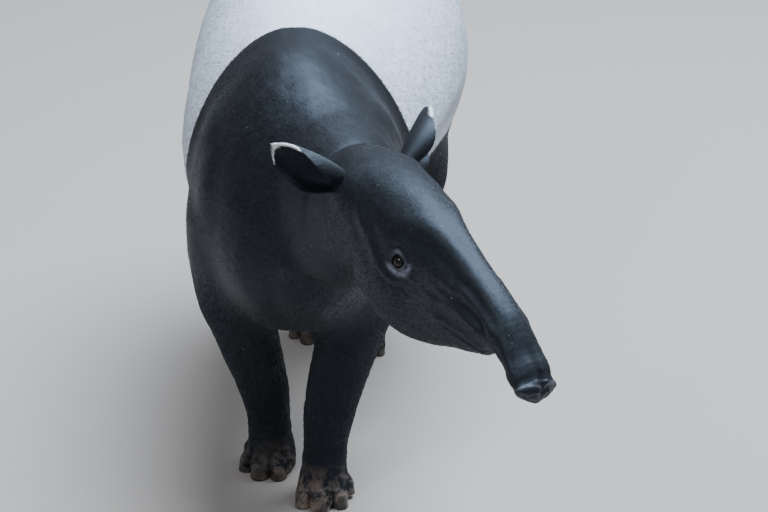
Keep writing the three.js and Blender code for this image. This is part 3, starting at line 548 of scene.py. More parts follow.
# The snout's groove, and at its end the rim and the nostrils, in the frame of the drooping end
snoutForm = {
    "grooveDepth": 0.0058,
    "grooveWidth": 0.0062,
    "grooveFrom": -0.085,
    "grooveSide": 0.001,
    "lipAside": 0.012,
    "lipWidth": 0.006,
    "rimHeight": 0.0009,
    "rimBack": 0.0055,
    "rimWidth": 0.003,
    "rimSlant": 0.27,
    "nostrilAt": (0.0265, 0.009),
    "nostrilSize": (0.0175, 0.0095),
    "nostrilTilt": -6,
    "nostrilDepth": 0.004,
    "nostrilFrom": -0.0035,
    "faceFrom": -0.004,
    "rimPaleAt": -0.0052,
    "rimPaleWidth": 0.0022,
    "waistDepth": 0.0012,
    "waistAt": -0.026,
    "waistWidth": 0.009,
    "ringSpacing": 0.0095,
    "ringHeight": 0.00006,
}
# Swellings and hollows of the body in the maker's frame; the same on both sides
bodySwellings = [
    {"at": (0.205, 0.03, 0.78), "radii": (0.05, 0.05, 0.16), "height": 0.007},  # shoulder blade
    {"at": (0.215, 0.12, 0.72), "radii": (0.05, 0.035, 0.17), "height": -0.006},
    {"at": (0.19, 0.075, 0.53), "radii": (0.06, 0.05, 0.07), "height": 0.008},  # upper arm
    {"at": (0.19, -0.06, 0.6), "radii": (0.06, 0.05, 0.06), "height": 0.006},
    {"at": (0.07, -0.2, 0.56), "radii": (0.05, 0.06, 0.08), "height": 0.003},  # breast muscle
    {"at": (0, -0.2, 0.52), "radii": (0.024, 0.08, 0.1), "height": -0.005},
    {"at": (0.27, 0.6, 0.62), "radii": (0.1, 0.08, 0.16), "height": -0.003},  # hollow of the flank
    {"at": (0.19, 0.71, 0.98), "radii": (0.07, 0.05, 0.05), "height": 0.007},  # hip
    {"at": (0.24, 0.7, 0.52), "radii": (0.06, 0.05, 0.08), "height": 0.008},  # stifle
    {"at": (0.24, 0.86, 0.68), "radii": (0.06, 0.035, 0.14), "height": -0.006},
    {"at": (0, 1.02, 0.62), "radii": (0.02, 0.08, 0.16), "height": -0.014},  # cleft of the buttocks
    {"at": (0, 0.45, 0.37), "radii": (0.03, 0.3, 0.05), "height": -0.004},
    {"at": (0, 0.42, 1.02), "radii": (0.03, 0.35, 0.05), "height": 0.003},  # ridge of the back
]
legFolds = [
    # height, width, depth, way round: 0 is all round, 1 is the front, -1 the back
    {"z": 0.4, "width": 0.02, "depth": 0.0025, "way": -1},
    {"z": 0.285, "width": 0.03, "depth": -0.0025, "way": 1},
    {"z": 0.232, "width": 0.01, "depth": 0.0008, "way": 0},
    {"z": 0.118, "width": 0.008, "depth": 0.0008, "way": 0},
    {"z": 0.101, "width": 0.006, "depth": 0.0008, "way": 1},
    {"z": 0.078, "width": 0.008, "depth": 0.001, "way": 0},
]
neckFolds = [
    # distance along the neck, way round the inner side of the bend
    {"t": 0.2, "width": 0.014, "depth": 0.003},
    {"t": 0.255, "width": 0.012, "depth": 0.0035},
    {"t": 0.305, "width": 0.01, "depth": 0.003},
    {"t": 0.345, "width": 0.009, "depth": 0.002},
]
neckFoldForm = {"towardsInside": -0.55, "insideFrom": 0.2, "lip": 0.3, "lipAt": 1.9}
# Clefts between the toes: how they spread ahead, where they start, and the height they end at
cleftForm = {
    "depth": 0.006,
    "width": 0.0045,
    "gapsAt": (0.016, -0.016),
    "spread": (0.6, 0.05),
    "ahead": (0.02, 0.02),
    "below": (0.06, -0.03),
}
legReach = {"aside": 0.17, "top": 0.46}
# The lip beside a groove and the fade at its ends, in widths of the groove and in shares of its length
strokeForm = {"reach": 3.5, "lip": 0.28, "lipAt": 1.9, "fade": 0.22}
# Smooth waves: seed of the dice, length and height
waveForm = {
    "body": (5, 0.09, 0.0008),
    "everywhere": (8, 0.024, 0.0003),
    "legFolds": (31, 0.12, 0.012),
    "neckFolds": (41, 0.16, 0.02),
    "snoutRings": (21, 0.05, 2.2),
}
# Where the head begins, forward of the crown; a pair is a start and a stretch
headStart = {
    "relief": -0.12,
    "bodyRelief": (-0.16, 0.1),
    "hair": (-0.12, 0.12),
    "grain": (-0.14, 0.07),
    "detail": -0.14,
    "coat": -0.11,
}


def curveThrough(corners, count=40):
    # A smooth line through its corners, at even steps of their numbering
    corners = np.array(corners, float)
    padded = np.vstack([2 * corners[0] - corners[1], corners, 2 * corners[-1] - corners[-2]])
    t = np.linspace(0, len(corners) - 1, count)
    k = np.minimum(t.astype(int), len(corners) - 2)
    u = (t - k)[:, None]
    a, b, c, d = padded[k], padded[k + 1], padded[k + 2], padded[k + 3]
    return 0.5 * (2 * b + (c - a) * u + (2 * a - 5 * b + 4 * c - d) * u**2 + (3 * b - a - 3 * c + d) * u**3)


def bothSides(head):
    # Places in the head's frame with the right side laid over the left one
    return np.stack([head[:, 0], np.abs(head[:, 1]), head[:, 2]], 1)


def onSideOfHead(line):
    # The line's points on the skin of the left side, in the head's frame
    flat = curveThrough(line)
    inner, outer = np.zeros(len(flat)), np.full(len(flat), 0.14)
    for _ in range(24):
        middle = (inner + outer) / 2
        p = headAt + flat[:, :1] * headForward + middle[:, None] * headLeft + flat[:, 1:] * headUp
        within = headField(p) < 0
        inner, outer = np.where(within, middle, inner), np.where(within, outer, middle)
    return np.stack([flat[:, 0], inner, flat[:, 1]], 1)


def awayFrom(p, line):
    # Distance of each point from a line, and how far along it the nearest place is, from 0 to 1
    best, along = np.full(len(p), 1e9), np.zeros(len(p))
    for i in range(len(line) - 1):
        a, ab = line[i], line[i + 1] - line[i]
        t = np.clip((p - a) @ ab / max(ab @ ab, 1e-12), 0, 1)
        gap = ((p - a - t[:, None] * ab) ** 2).sum(1)
        nearer = gap < best
        best = np.where(nearer, gap, best)
        along = np.where(nearer, (i + t) / (len(line) - 1), along)
    return np.sqrt(best), along


def strokeHeight(p, fold, line):
    # A ridge or groove of soft section that fades at its ends, with a low lip beside a groove
    height = np.zeros(len(p))
    reach = strokeForm["reach"] * fold["width"]
    near = (np.abs(p - (line.min(0) + line.max(0)) / 2) < (line.max(0) - line.min(0)) / 2 + reach).all(1)
    if not near.any():
        return height
    gap, along = awayFrom(p[near], line)
    q = gap / fold["width"]
    shape = np.exp(-q * q) - strokeForm["lip"] * np.exp(-((q - strokeForm["lipAt"]) ** 2))
    height[near] = fold["height"] * shape * eased(ramp(np.minimum(along, 1 - along), 0, strokeForm["fade"]))
    return height


def swelling(p, form):
    q = (p - np.array(form["at"])) / np.array(form["radii"])
    return form["height"] * np.exp(-(q * q).sum(1))


def ripple(p, name):
    # Smooth uneven waves with no pattern to see
    seed, length, height = waveForm[name]
    dice = np.random.default_rng(seed)
    ways = dice.normal(size=(7, 3))
    ways *= (dice.uniform(0.6, 1.6, 7) / np.linalg.norm(ways, axis=1))[:, None]
    turns = dice.uniform(0, math.tau, 7)
    return height * (np.sin(p @ (ways.T * math.tau / length) + turns).mean(1) * 1.6)


def reliefOf(p, n):
    # How far the skin stands out from the plain form at each point
    head = inHead(p)
    onHead = head[:, 0] > headStart["relief"]
    rise = np.zeros(len(p))
    at = bothSides(head[onHead])
    part = np.zeros(len(at))
    for fold in headFolds:
        part += strokeHeight(at, fold, onSideOfHead(fold["line"]))
    for form in headSwellings:
        part += swelling(at, form)
    part += snoutRelief(p[onHead], at)
    rise[onHead] = part
    mirrored = np.stack([np.abs(p[:, 0] + 0.005), p[:, 1], p[:, 2]], 1)
    off = 1 - ramp(head[:, 0], *headStart["bodyRelief"])
    for form in bodySwellings:
        rise += swelling(mirrored, form) * off
    for leg in legs.values():
        rise += legRelief(p, n, leg)
    rise += neckRelief(p) * off
    rise += ripple(p, "body") * off + ripple(p, "everywhere")
    return rise


def awayFromNostril(tip):
    # 1 on the edge of the opening, less inside it
    form = snoutForm
    turn = math.radians(form["nostrilTilt"])
    l, u = np.abs(tip[:, 1]) - form["nostrilAt"][0], tip[:, 2] - form["nostrilAt"][1]
    a = l * math.cos(turn) + u * math.sin(turn)
    b = u * math.cos(turn) - l * math.sin(turn)
    return np.hypot(a / form["nostrilSize"][0], b / form["nostrilSize"][1])


def snoutRelief(p, head):
    form = snoutForm
    tip = (p - tipAt) @ tipAxes.T
    t, l, u = tip.T
    beyondRim = t + form["rimSlant"] * np.abs(l)
    along = ramp(t, form["grooveFrom"], -form["grooveFrom"])
    above = ramp(u, -0.004, 0.02) * (head[:, 0] > 0.42)
    groove = -form["grooveDepth"] * along * bell(l - form["grooveSide"], form["grooveWidth"]) * above
    lips = 0.3 * form["grooveDepth"] * along * bell(np.abs(l) - form["lipAside"], form["lipWidth"]) * above
    rim = form["rimHeight"] * bell(beyondRim + form["rimBack"], form["rimWidth"]) * ramp(u, 0.002, 0.008)
    waist = -form["waistDepth"] * bell(t - form["waistAt"], form["waistWidth"])
    hole = -form["nostrilDepth"] / (1 + np.exp((awayFromNostril(tip) - 0.85) / 0.2))
    hole = hole * (beyondRim > form["nostrilFrom"])
    ringy = ramp(head[:, 0], 0.33, 0.1) * (t < -0.014)
    waves = np.sin(math.tau * head[:, 0] / form["ringSpacing"] + ripple(head, "snoutRings"))
    return groove + lips + rim + waist + hole + form["ringHeight"] * ringy * waves


def legRelief(p, n, leg):
    rise = np.zeros(len(p))
    rows = np.array(leg["rows"])[::-1]
    x = np.interp(p[:, 2], rows[:, 0], rows[:, 1])
    y = -np.interp(p[:, 2], rows[:, 0], rows[:, 2])
    near = (np.hypot(p[:, 0] - x, p[:, 1] - y) < legReach["aside"]) & (p[:, 2] < legReach["top"])
    if not near.any():
        return rise
    q, facing = p[near], n[near] @ leg["forward"]
    part = np.zeros(len(q))
    wave = ripple(q, "legFolds")
    for fold in legFolds:
        share = 1 if fold["way"] == 0 else np.clip(fold["way"] * facing * 1.5, 0, 1)
        part -= fold["depth"] * share * bell(q[:, 2] + wave - fold["z"], fold["width"])
    flat = q - leg["sole"]
    ahead, out = flat @ leg["forward"], flat @ leg["out"]
    least, stretch = cleftForm["spread"]
    for gap in cleftForm["gapsAt"]:
        cleft = cleftForm["depth"] * bell(out - gap * (least + ahead / stretch), cleftForm["width"])
        part -= cleft * ramp(ahead, *cleftForm["ahead"]) * ramp(q[:, 2], *cleftForm["below"])
    rise[near] = part
    return rise


def neckRelief(p):
    form = neckFoldForm
    d = p - neckFrom
    t = d @ neckAlong
    around = unitRows(np.stack([d @ neckSide, d @ neckUp], 1))
    inside = unit((1 if neckSide[0] > 0 else -1, form["towardsInside"]))
    inner = np.clip(around @ inside - form["insideFrom"], 0, 1)
    wave = ripple(p, "neckFolds")
    rise = np.zeros(len(p))
    for fold in neckFolds:
        q = (t + wave - fold["t"]) / fold["width"]
        lip = form["lip"] * np.exp(-((np.abs(q) - form["lipAt"]) ** 2))
        rise -= fold["depth"] * inner * (np.exp(-q * q) - lip)
    return rise


# Eyes: the skin swells over each ball and parts between the lids
eyeForm = {
    "at": (0.196, 0.063, -0.126),
    "looks": (0.39, 0.87, 0.29),
    "radius": 0.0168,
    "lid": 0.0028,
    "length": 0.032,
    "upper": 0.0138,
    "lower": 0.0118,
    "tilt": -14,
    "blend": 0.006,
    "reach": 0.045,
    "lipHeight": 0.0012,
    "lipWidth": 0.0022,
    "creaseAt": 0.006,
    "creaseWidth": 0.0018,
    "lidEdge": 0.0012,
    "sunk": 0.004,
    "bulge": 0.045,
    "forward": 0.001,
    "rimMark": (0.0004, 0.0018),
    "bareTo": 0.005,
    # pale skin with a painted highlight, by its distance from the opening, width and strength
    "patch": (0.0122, 0.0058, 1),
    "margin": (0.0028, 0.0011, 0.55),
    "upperLidHighlight": (0.0062, 0.004, 0.6),
}


def eyeFrame(sign):
    at = headPoint(*(np.array(eyeForm["at"]) * [1, sign, 1]))
    looks = np.array(eyeForm["looks"]) * [1, sign, 1]
    out = unit(looks @ headAxes)
    level = -sign * unit(np.cross(out, headUp))
    high = sign * np.cross(out, level)
    tilt = math.radians(eyeForm["tilt"])
    long = level * math.cos(tilt) + high * math.sin(tilt)
    return {"at": at, "long": long, "high": sign * np.cross(out, long), "out": out, "sign": sign}


eyeFrames = {"left": eyeFrame(1), "right": eyeFrame(-1)}


def lidMargin(a, b):
    # Signed distance in the eye's plane to the edge of the opening: negative between the lids
    half = eyeForm["length"] / 2
    t = np.linspace(-half, half, 40)
    bow = 1 - (t / half) ** 2
    edge = np.concatenate([
        np.stack([t, eyeForm["upper"] * bow], 1),
        np.stack([t[::-1], -eyeForm["lower"] * bow[::-1]], 1),
    ])
    gap, _ = awayFrom(np.stack([a, b], 1), edge)
    roof = np.where(b > 0, eyeForm["upper"], eyeForm["lower"]) * (1 - (a / half) ** 2)
    return np.where((np.abs(a) < half) & (np.abs(b) < roof), -gap, gap)


def formLids(p, marks):
    form = eyeForm
    for eye in eyeFrames.values():
        d = p - eye["at"]
        a, b, c = d @ eye["long"], d @ eye["high"], d @ eye["out"]
        near = (np.hypot(a, b) < form["reach"]) & (c > -0.02)
        a, b, c = a[near], b[near], c[near]
        gap = lidMargin(a, b)
        ballOut = form["radius"] + form["lid"]
        flat = a * a + b * b
        dome = np.sqrt(np.maximum(ballOut**2 - flat, 0)) - np.maximum(np.sqrt(flat) - ballOut, 0) * 2
        raised = -melt(-c, -dome, form["blend"])
        raised += form["lipHeight"] * bell(gap, form["lipWidth"])
        raised -= form["lipHeight"] * bell(gap - form["creaseAt"], form["creaseWidth"])
        sunk = np.sqrt(np.maximum((form["radius"] - form["sunk"]) ** 2 - flat, 0))
        parted = ramp(-gap, 0, form["lidEdge"])
        c = np.where(gap < 0, raised * (1 - parted) + np.minimum(sunk, raised) * parted, raised)
        p[near] = eye["at"] + a[:, None] * eye["long"] + b[:, None] * eye["high"] + c[:, None] * eye["out"]
        marks["lidRim"][near] = bell(gap - form["rimMark"][0], form["rimMark"][1])
        bare = np.clip(1.6 - np.maximum(gap, 0) / form["bareTo"], 0, 1)
        marks["bare"][near] = np.maximum(marks["bare"][near], bare)
        paleSkinAndHighlight = (form["patch"], form["margin"], form["upperLidHighlight"])
        patch, margin, lid = (strength * bell(gap - at, width) for at, width, strength in paleSkinAndHighlight)
        lid = lid * ramp(b, 0, 0.008) * bell(a, 0.012)
        # pale skin round the eye with a painted highlight: wet shine on the pouch and the lower lid margin, a
        # lit patch on the upper lid
        marks["eyePaleAndHighlight"][near] = patch * ramp(b, 0, -0.008) + margin * ramp(b, 0.007, -0.01) + lid
    return p


# Black and white: the edge of the black forequarters is a tilted plane, that of the black haunches a
# curve in the side view (y, z)
markingForm = {
    "frontPoint": (-0.03, 0.192, 0.96),
    "frontNormal": (-0.12, 1, -0.06),
    "belly": 0.345,
    "haunch": [
        (0.56, 0.33), (0.6, 0.43), (0.64, 0.52), (0.74, 0.61), (0.88, 0.69), (0.98, 0.73), (1.06, 0.745),
    ],
}
tailForm = {
    "line": [(0, 0.93, 0.862), (0, 0.985, 0.825), (0, 1.04, 0.79), (0, 1.062, 0.738)],
    "root": 0.034,
    "tip": 0.011,
    "melt": 0.03,
}
skinForm = {
    "coatDepth": 0.002,  # the skin lies this far inside the solids
    "cell": 0.011,
    "sole": 0.001,
    "low": (-0.37, -0.87, -0.04),
    "high": (0.69, 1.1, 1.12),
}
haunchCurve = curveThrough([(0, y, z) for y, z in markingForm["haunch"]], 60)
tailLine = curveThrough(tailForm["line"], 24)


def skinField(p):
    value = fleshField(p)
    near = p[:, 1] > 0.8
    if near.any():
        gap, along = awayFrom(p[near], tailLine)
        radius = tailForm["root"] + (tailForm["tip"] - tailForm["root"]) * np.sqrt(along)
        value[near] = melt(value[near], gap - radius, tailForm["melt"])
    return np.maximum(value + skinForm["coatDepth"], skinForm["sole"] - p[:, 2])


def whiteSide(p):
    # Signed distance to the edge of the markings: above 0 on the white saddle
    normal = unit(markingForm["frontNormal"])
    behind = (p - np.array(markingForm["frontPoint"])) @ normal
    flat = p * [0, 1, 1]
    gap, _ = awayFrom(flat, haunchCurve)
    y, z = np.clip(flat[:, 1], haunchCurve[0, 1], haunchCurve[-1, 1]), flat[:, 2]
    above = z > np.interp(y, haunchCurve[:, 1], haunchCurve[:, 2])
    above = above | (flat[:, 1] < haunchCurve[0, 1])
    saddle = np.minimum(behind, np.where(above, gap, -gap))
    return np.minimum(saddle, p[:, 2] - markingForm["belly"])


# Where the net is made finer, and the most a point moves after each split
detailForm = {
    "steps": {"all": 0.003, "fine": 0.002, "face": 0.001, "eyes": 0.0006},
    "neckBand": (0.28, 0.12),
    "feet": 0.15,
    "eyeAt": (0.2, 0.07, -0.13),
    "eyeReach": 0.075,
    "mouthFrom": (0.26, 0.015),
    "mouthTop": -0.15,
    "snoutFrom": 0.45,
    "lidReach": 0.042,
    "tipReach": 0.055,
}


def inZone(p, zone):
    form, head = detailForm, inHead(p)
    if zone == "all":
        return np.ones(len(p), bool)
    if zone == "fine":
        middle, half = form["neckBand"]
        folds = (head[:, 0] > headStart["detail"]) | (np.abs((p - neckFrom) @ neckAlong - middle) < half)
        return folds | (p[:, 2] < form["feet"])
    if zone == "face":
        eyes = np.linalg.norm(bothSides(head) - form["eyeAt"], axis=1) < form["eyeReach"]
        ahead, aside = form["mouthFrom"]
        mouth = (head[:, 0] > ahead) & (head[:, 2] < form["mouthTop"]) & (np.abs(head[:, 1]) > aside)
        return eyes | mouth | (head[:, 0] > form["snoutFrom"])
    eyes = [np.linalg.norm(p - eye["at"], axis=1) < form["lidReach"] for eye in eyeFrames.values()]
    return eyes[0] | eyes[1] | (np.linalg.norm(p - tipAt, axis=1) < form["tipReach"])


def buildSkin():
    points, quads = netOfField(skinField, skinForm["low"], skinForm["high"], skinForm["cell"])
    points = settle(skinField, points, 0.005, 3)
    for _ in range(3):
        points = settle(skinField, evenOut(points, quads, 2), 0.004, 1)
    patches = []
    for zone, most in detailForm["steps"].items():
        picked = inZone(points[quads].mean(1), zone)
        points, quads, patches = splitQuads(points, quads, patches, picked)
        points = settle(skinField, points, most, 2 if zone == "all" else 1)
    points = settle(skinField, evenOut(points, quads, 1, 0.3), 0.001, 1)
    normals = unitRows(slope(skinField, points))
    rise = reliefOf(points, normals)
    marks = {name: np.zeros(len(points)) for name in ("bare", "lidRim", "eyePaleAndHighlight")}
    onSole = points[:, 2] < skinForm["sole"] + 0.003
    points = points + normals * rise[:, None]
    points = formLids(points, marks)
    points[onSole, 2] = skinForm["sole"]
    points[:, 2] = np.maximum(points[:, 2], skinForm["sole"])
    marks["rise"] = rise
    marks["white"] = whiteSide(points)
    tip = (points - tipAt) @ tipAxes.T
    nearTip = (np.abs(tip) < [0.04, 0.07, 0.05]).all(1)
    beyondRim = tip[:, 0] + snoutForm["rimSlant"] * np.abs(tip[:, 1])
    paleRim = bell(beyondRim - snoutForm["rimPaleAt"], snoutForm["rimPaleWidth"])
    marks["tipRim"] = paleRim * nearTip * ramp(tip[:, 2], 0.002, 0.008)
    face = ramp(beyondRim, snoutForm["faceFrom"], 0.0015) * nearTip
    # painted shade: the nostril openings darkened on the end face of the snout
    marks["nostril"] = face / (1 + np.exp((awayFromNostril(tip) - 1) / 0.1))
    soles = ramp(points[:, 2], 0.012, -0.008)
    gap, _ = awayFrom(bothSides(inHead(points)), onSideOfHead(mouthLine))
    marks["bare"] = np.maximum.reduce([marks["bare"], face, soles, 0.9 * bell(gap, 0.006)])
    return points, quads, patches, marks


# Ears, each a leaf rolled into a cup that opens from root to tip
earForm = {
    "length": 0.154,
    "halfWidth": 0.042,
    "thick": 0.005,
    "root": (-0.004, 0.07, -0.042),
    "leans": (-0.63, 0.66, 0.41),
    "opens": (0.6, 0.74, -0.2),
    "rollAtRoot": 142,
    "rollAtTip": 62,
    "across": 44,
    "rows": 56,
    "sunk": 0.16,
    "inset": 0.0008,
    "rootWidth": 0.48,
    "widestAt": 0.55,
    "rootTaper": 3,
    "rimStart": 0.012,
    "ribs": 0.0011,
    "ribsAside": 0.35,
    # white edge: width on the back and in the cup, and the height it starts at on each side
    "whiteWidth": (0.0085, 0.0145),
    "whiteFrom": (0.6, 0.84),
}


def facingOf(points, quads):
    return np.cross(points[quads[:, 2]] - points[quads[:, 0]], points[quads[:, 3]] - points[quads[:, 1]])


def closeSheets(grid):
    # Faces of two like sheets of points, one behind the other, and of the rim that joins them
    front = np.stack([grid[:-1, :-1], grid[1:, :-1], grid[1:, 1:], grid[:-1, 1:]], -1).reshape(-1, 4)
    ring = np.concatenate([grid[0], grid[1:, -1], grid[-1, -2::-1], grid[-2:0:-1, 0]])
    after = np.roll(ring, -1)
    rim = np.stack([ring, after, after + grid.size, ring + grid.size], 1)
    return np.concatenate([front, front[:, ::-1] + grid.size, rim])


def buildEar(sign):
    form = earForm
    at = headPoint(*(np.array(form["root"]) * [1, sign, 1]))
    long = unit((np.array(form["leans"]) * [1, sign, 1]) @ headAxes)
    opens = (np.array(form["opens"]) * [1, sign, 1]) @ headAxes
    opens = unit(opens - long * (opens @ long))
    wide = np.cross(long, opens)
    across, rows, widest = form["across"], form["rows"], form["widestAt"]
    u = np.sin(np.linspace(-1, 1, across + 1) * math.pi / 2)[None, :]
    s = np.linspace(0, 1, rows + 1)[:, None]
    v = -form["sunk"] + (1 + form["sunk"]) * np.sin(s * math.pi / 2)
    vc = np.clip(v, 0, 1)
    roll = form["rollAtRoot"] + (form["rollAtTip"] - form["rollAtRoot"]) * eased(ramp(vc, 0, 0.95))
    roll = np.radians(roll)
    lower = form["rootWidth"] + (1 - form["rootWidth"]) * np.sin(ramp(vc, 0, widest) * math.pi / 2)
    upper = np.sqrt(np.maximum(1 - (np.clip(vc - widest, 0, 1) / 0.4515) ** 3, 0.002))
    taper = 1 + form["rootTaper"] * np.minimum(v, 0)
    half = form["halfWidth"] * np.where(vc < widest, lower, upper) * taper - form["inset"]
    centre = half / np.sin(np.minimum(roll, math.pi / 2))
    rimGap = np.minimum((1 - np.abs(u)) * half * 1.3, (1 - vc) * form["length"] + 0 * u)
    thick = form["thick"] * np.clip(0.35 + rimGap / form["rimStart"], 0.35, 1)
    ribs = form["ribs"] * bell(np.abs(u) - form["ribsAside"], 0.12) * ramp(vc, 0, 0.3) * ramp(vc, 0.8, -0.3)
    sheets = []
    for side in (0, 1):
        radius = centre - side * (thick + ribs)
        along = form["length"] * v - 0.007 * v * u * u - 0.0015
        offset = centre - radius * np.cos(u * roll) - 0.016 + 0.02 * v * v
        sheet = at + along[..., None] * long + (radius * np.sin(u * roll))[..., None] * wide
        sheets.append((sheet + offset[..., None] * opens).reshape(-1, 3))
    points = np.concatenate(sheets)
    grid = np.arange((rows + 1) * (across + 1)).reshape(rows + 1, across + 1)
    quads = closeSheets(grid)
    outer = quads[:rows * across]
    middle = points[outer].mean(1)
    away = middle - (at + ((middle - at) @ long)[:, None] * long + 0.03 * opens)
    if (facingOf(points, outer) * away).sum() < 0:
        quads = quads[:, ::-1]
    gap, height, front = (np.tile((value + 0 * rimGap).reshape(-1), 2) for value in (rimGap, vc, u * sign))
    reach = ramp(height, np.where(front < 0, *form["whiteFrom"]), 0.12)
    white = np.repeat(form["whiteWidth"], grid.size) * reach - gap - 0.014 * (1 - reach)
    return points, quads, {"white": white, "cup": np.repeat([0.0, 1.0], grid.size)}, long


def meshFrom(name, points, faces, patches=()):
    # Faces of one size, and patches that each have their own
    mesh = bpy.data.meshes.new(name)
    sizes = [faces.shape[1]] * len(faces) + [len(patch) for patch in patches]
    corners = np.concatenate([faces.reshape(-1), *patches]).astype(int)
    mesh.vertices.add(len(points))
    mesh.vertices.foreach_set("co", (points + makerShift).astype(np.float32).reshape(-1))
    mesh.loops.add(len(corners))
    mesh.loops.foreach_set("vertex_index", corners)
    mesh.polygons.add(len(sizes))
    mesh.polygons.foreach_set("loop_start", np.cumsum([0] + sizes[:-1]))
    mesh.update(calc_edges=True)
    mesh.validate()
    mesh.shade_smooth()
    piece = bpy.data.objects.new(name, mesh)
    bpy.context.scene.collection.objects.link(piece)
    return piece


def writeMark(piece, name, values):
    kind = "FLOAT_VECTOR" if values.ndim == 2 else "FLOAT"
    mark = piece.data.attributes.new(name, kind, "POINT")
    mark.data.foreach_set("vector" if values.ndim == 2 else "value", values.astype(np.float32).reshape(-1))


def hairLie(p):
    # The way the hair lies: back along the body and head, down the legs
    head, t = inHead(p), (p - neckFrom) @ neckAlong
    onHead = ramp(head[:, 0], *headStart["hair"])[:, None]
    onNeck = ramp(t, 0.02, 0.2)[:, None]
    low = ramp(p[:, 2], 0.62, -0.22)[:, None]
    lie = np.tile(np.array([0, 1, -0.25]), (len(p), 1))
    lie = lie * (1 - onNeck) - neckAlong * onNeck + [0, 0, -0.1]
    lie = lie * (1 - low) + np.array([0, 0.15, -1]) * low
    lie = lie * (1 - onHead) - (headForward + 0.1 * headUp) * onHead
    return unitRows(lie)


def buildHide():
    # Skin and ears as one set of points, faces and marks, with the lie of the hair on each point
    points, quads, patches, marks = buildSkin()
    print("skin shaped:", len(points), "points")
    earStart = len(points)
    marks["cup"] = np.zeros(earStart)
    lie = hairLie(points)
    for sign in (1, -1):
        earPoints, earQuads, earMarks, long = buildEar(sign)
        quads = np.concatenate([quads, earQuads + len(points)])
        points = np.concatenate([points, earPoints])
        lie = np.concatenate([lie, np.tile(long, (len(earPoints), 1))])
        for name in marks:
            marks[name] = np.concatenate([marks[name], earMarks.get(name, np.zeros(len(earPoints)))])
    shape = {"points": points, "quads": quads, "patches": patches}
    return {**shape, "marks": marks, "lie": lie, "earStart": earStart}


eyeBoxes = [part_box("eye_left"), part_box("eye_right")]
eyesAt = sum((np.array(low) + np.array(high) for low, high in eyeBoxes)) / 4
makerShift = eyesAt - (eyeFrames["left"]["at"] + eyeFrames["right"]["at"]) / 2

hide = buildHide()
skin = meshFrom("skin", hide["points"], hide["quads"], hide["patches"])
# The coat carries the same marks; the places and shares below serve the grain of the skin alone
skinHead = inHead(hide["points"])
skinMarks = {
    **hide["marks"],
    "headPlace": skinHead,
    "onHead": ramp(skinHead[:, 0], *headStart["grain"]),
    "onLeg": ramp(hide["points"][:, 2], 0.52, -0.1),
}
for name, values in skinMarks.items():
    writeMark(skin, name, values)
fleshNodes = [
    "forequarters", "saddle", "neck", "thigh_left", "thigh_right", "tail", "ear_left", "ear_right",
    "lower_jaw", "head", "proboscis",
]
fleshNodes += [f"{part}_{name}" for name in legForm for part in ("leg", "foot")]
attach(skin, "root")
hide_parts(*fleshNodes)
print("skin made with ears")


# Eyeballs, with the clear front raised
def buildEyeball(side):
    eye = eyeFrames[side]
    rings, rounds = 40, 48
    turn = np.linspace(0, math.pi, rings + 1)[:, None]
    around = np.linspace(0, 2 * math.pi, rounds, endpoint=False)[None, :]
    radius = eyeForm["radius"] * (1 + eyeForm["bulge"] * np.exp(-(turn / 0.55) ** 4))
    local = np.stack([
        radius * np.sin(turn) * np.cos(around),
        radius * np.sin(turn) * np.sin(around),
        radius * np.cos(turn) + 0 * around,
    ], -1).reshape(-1, 3)
    points = eye["at"] + eyeForm["forward"] * eye["out"]
    points = points + local @ np.array([eye["long"], eye["high"], eye["out"]])
    grid = np.arange((rings + 1) * rounds).reshape(rings + 1, rounds)
    after = np.roll(grid, -1, 1)
    quads = np.stack([grid[:-1], grid[1:], after[1:], after[:-1]], -1).reshape(-1, 4)
    piece = meshFrom(f"eyeball_{side}", points, quads[:, ::eye["sign"]])
    writeMark(piece, "gaze", np.repeat(turn[:, 0], rounds))
    writeMark(piece, "iris", np.stack([local[:, 0], local[:, 1], 0 * local[:, 0]], 1) * 100)
    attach(piece, "root")
    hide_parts(f"eye_{side}")
    return piece


# Nails, each the front of an upright oval that spreads towards the ground
nailForm = {
    "sweep": 73,
    "spread": 1.045,
    "draw": 0.17,
    "topDraw": 0.07,
    "top": 0.62,
    "slope": 0.45,
    "thick": 0.3,
    "across": 28,
    "rows": 16,
    "floor": 0.0015,
}


def buildNail(legName, number, toe):
    form = nailForm
    long, wide, high = toe["size"]
    ahead, across = toe["axes"][0], toe["axes"][1]
    low = max(toe["at"][2] - high + 0.001, form["floor"])
    turn = np.radians(np.linspace(-form["sweep"], form["sweep"], form["across"] + 1))[None, :]
    v = np.sin(np.linspace(0, math.pi / 2, form["rows"] + 1))[:, None]
    top = toe["at"][2] + form["top"] * high - form["slope"] * long * (1 - np.cos(turn))
    level = low + v * (top - low)
    reach = form["spread"] - form["draw"] * v - form["topDraw"] * ramp(v, 0.86, 0.14) ** 2
    reach = reach + 0.008 * np.sin(34 * turn) * (1 - v) + 0.006 * np.sin(26 * v)
    sheets = []
    for inner in (0, 1):
        share = reach - form["thick"] * inner
        forward = (long + 0.001) * share * np.cos(turn)
        aside = 0.98 * wide * share * np.sin(turn)
        sheet = toe["at"] * [1, 1, 0] + forward[..., None] * ahead + aside[..., None] * across
        sheets.append((sheet + level[..., None] * worldZ).reshape(-1, 3))
    points = np.concatenate(sheets)
    grid = np.arange(level.size).reshape(level.shape)
    quads = closeSheets(grid)
    if toe["axes"][1] @ np.cross(worldZ, ahead) < 0:
        quads = quads[:, ::-1]
    name = f"{legName}_{number}"
    piece = meshFrom(f"nail_piece_{name}", points, quads)
    writeMark(piece, "grow", np.tile((v + 0 * turn).reshape(-1), 2))
    writeMark(piece, "ray", np.tile((turn + 0 * v).reshape(-1), 2))
    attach(piece, "root")
    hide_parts(f"nail_{name}")
    return piece


eyeballs = [buildEyeball(side) for side in eyeFrames]
nails = [buildNail(name, i + 1, toe) for name, leg in legs.items() for i, toe in enumerate(leg["toes"])]
print("eyes and nails made")


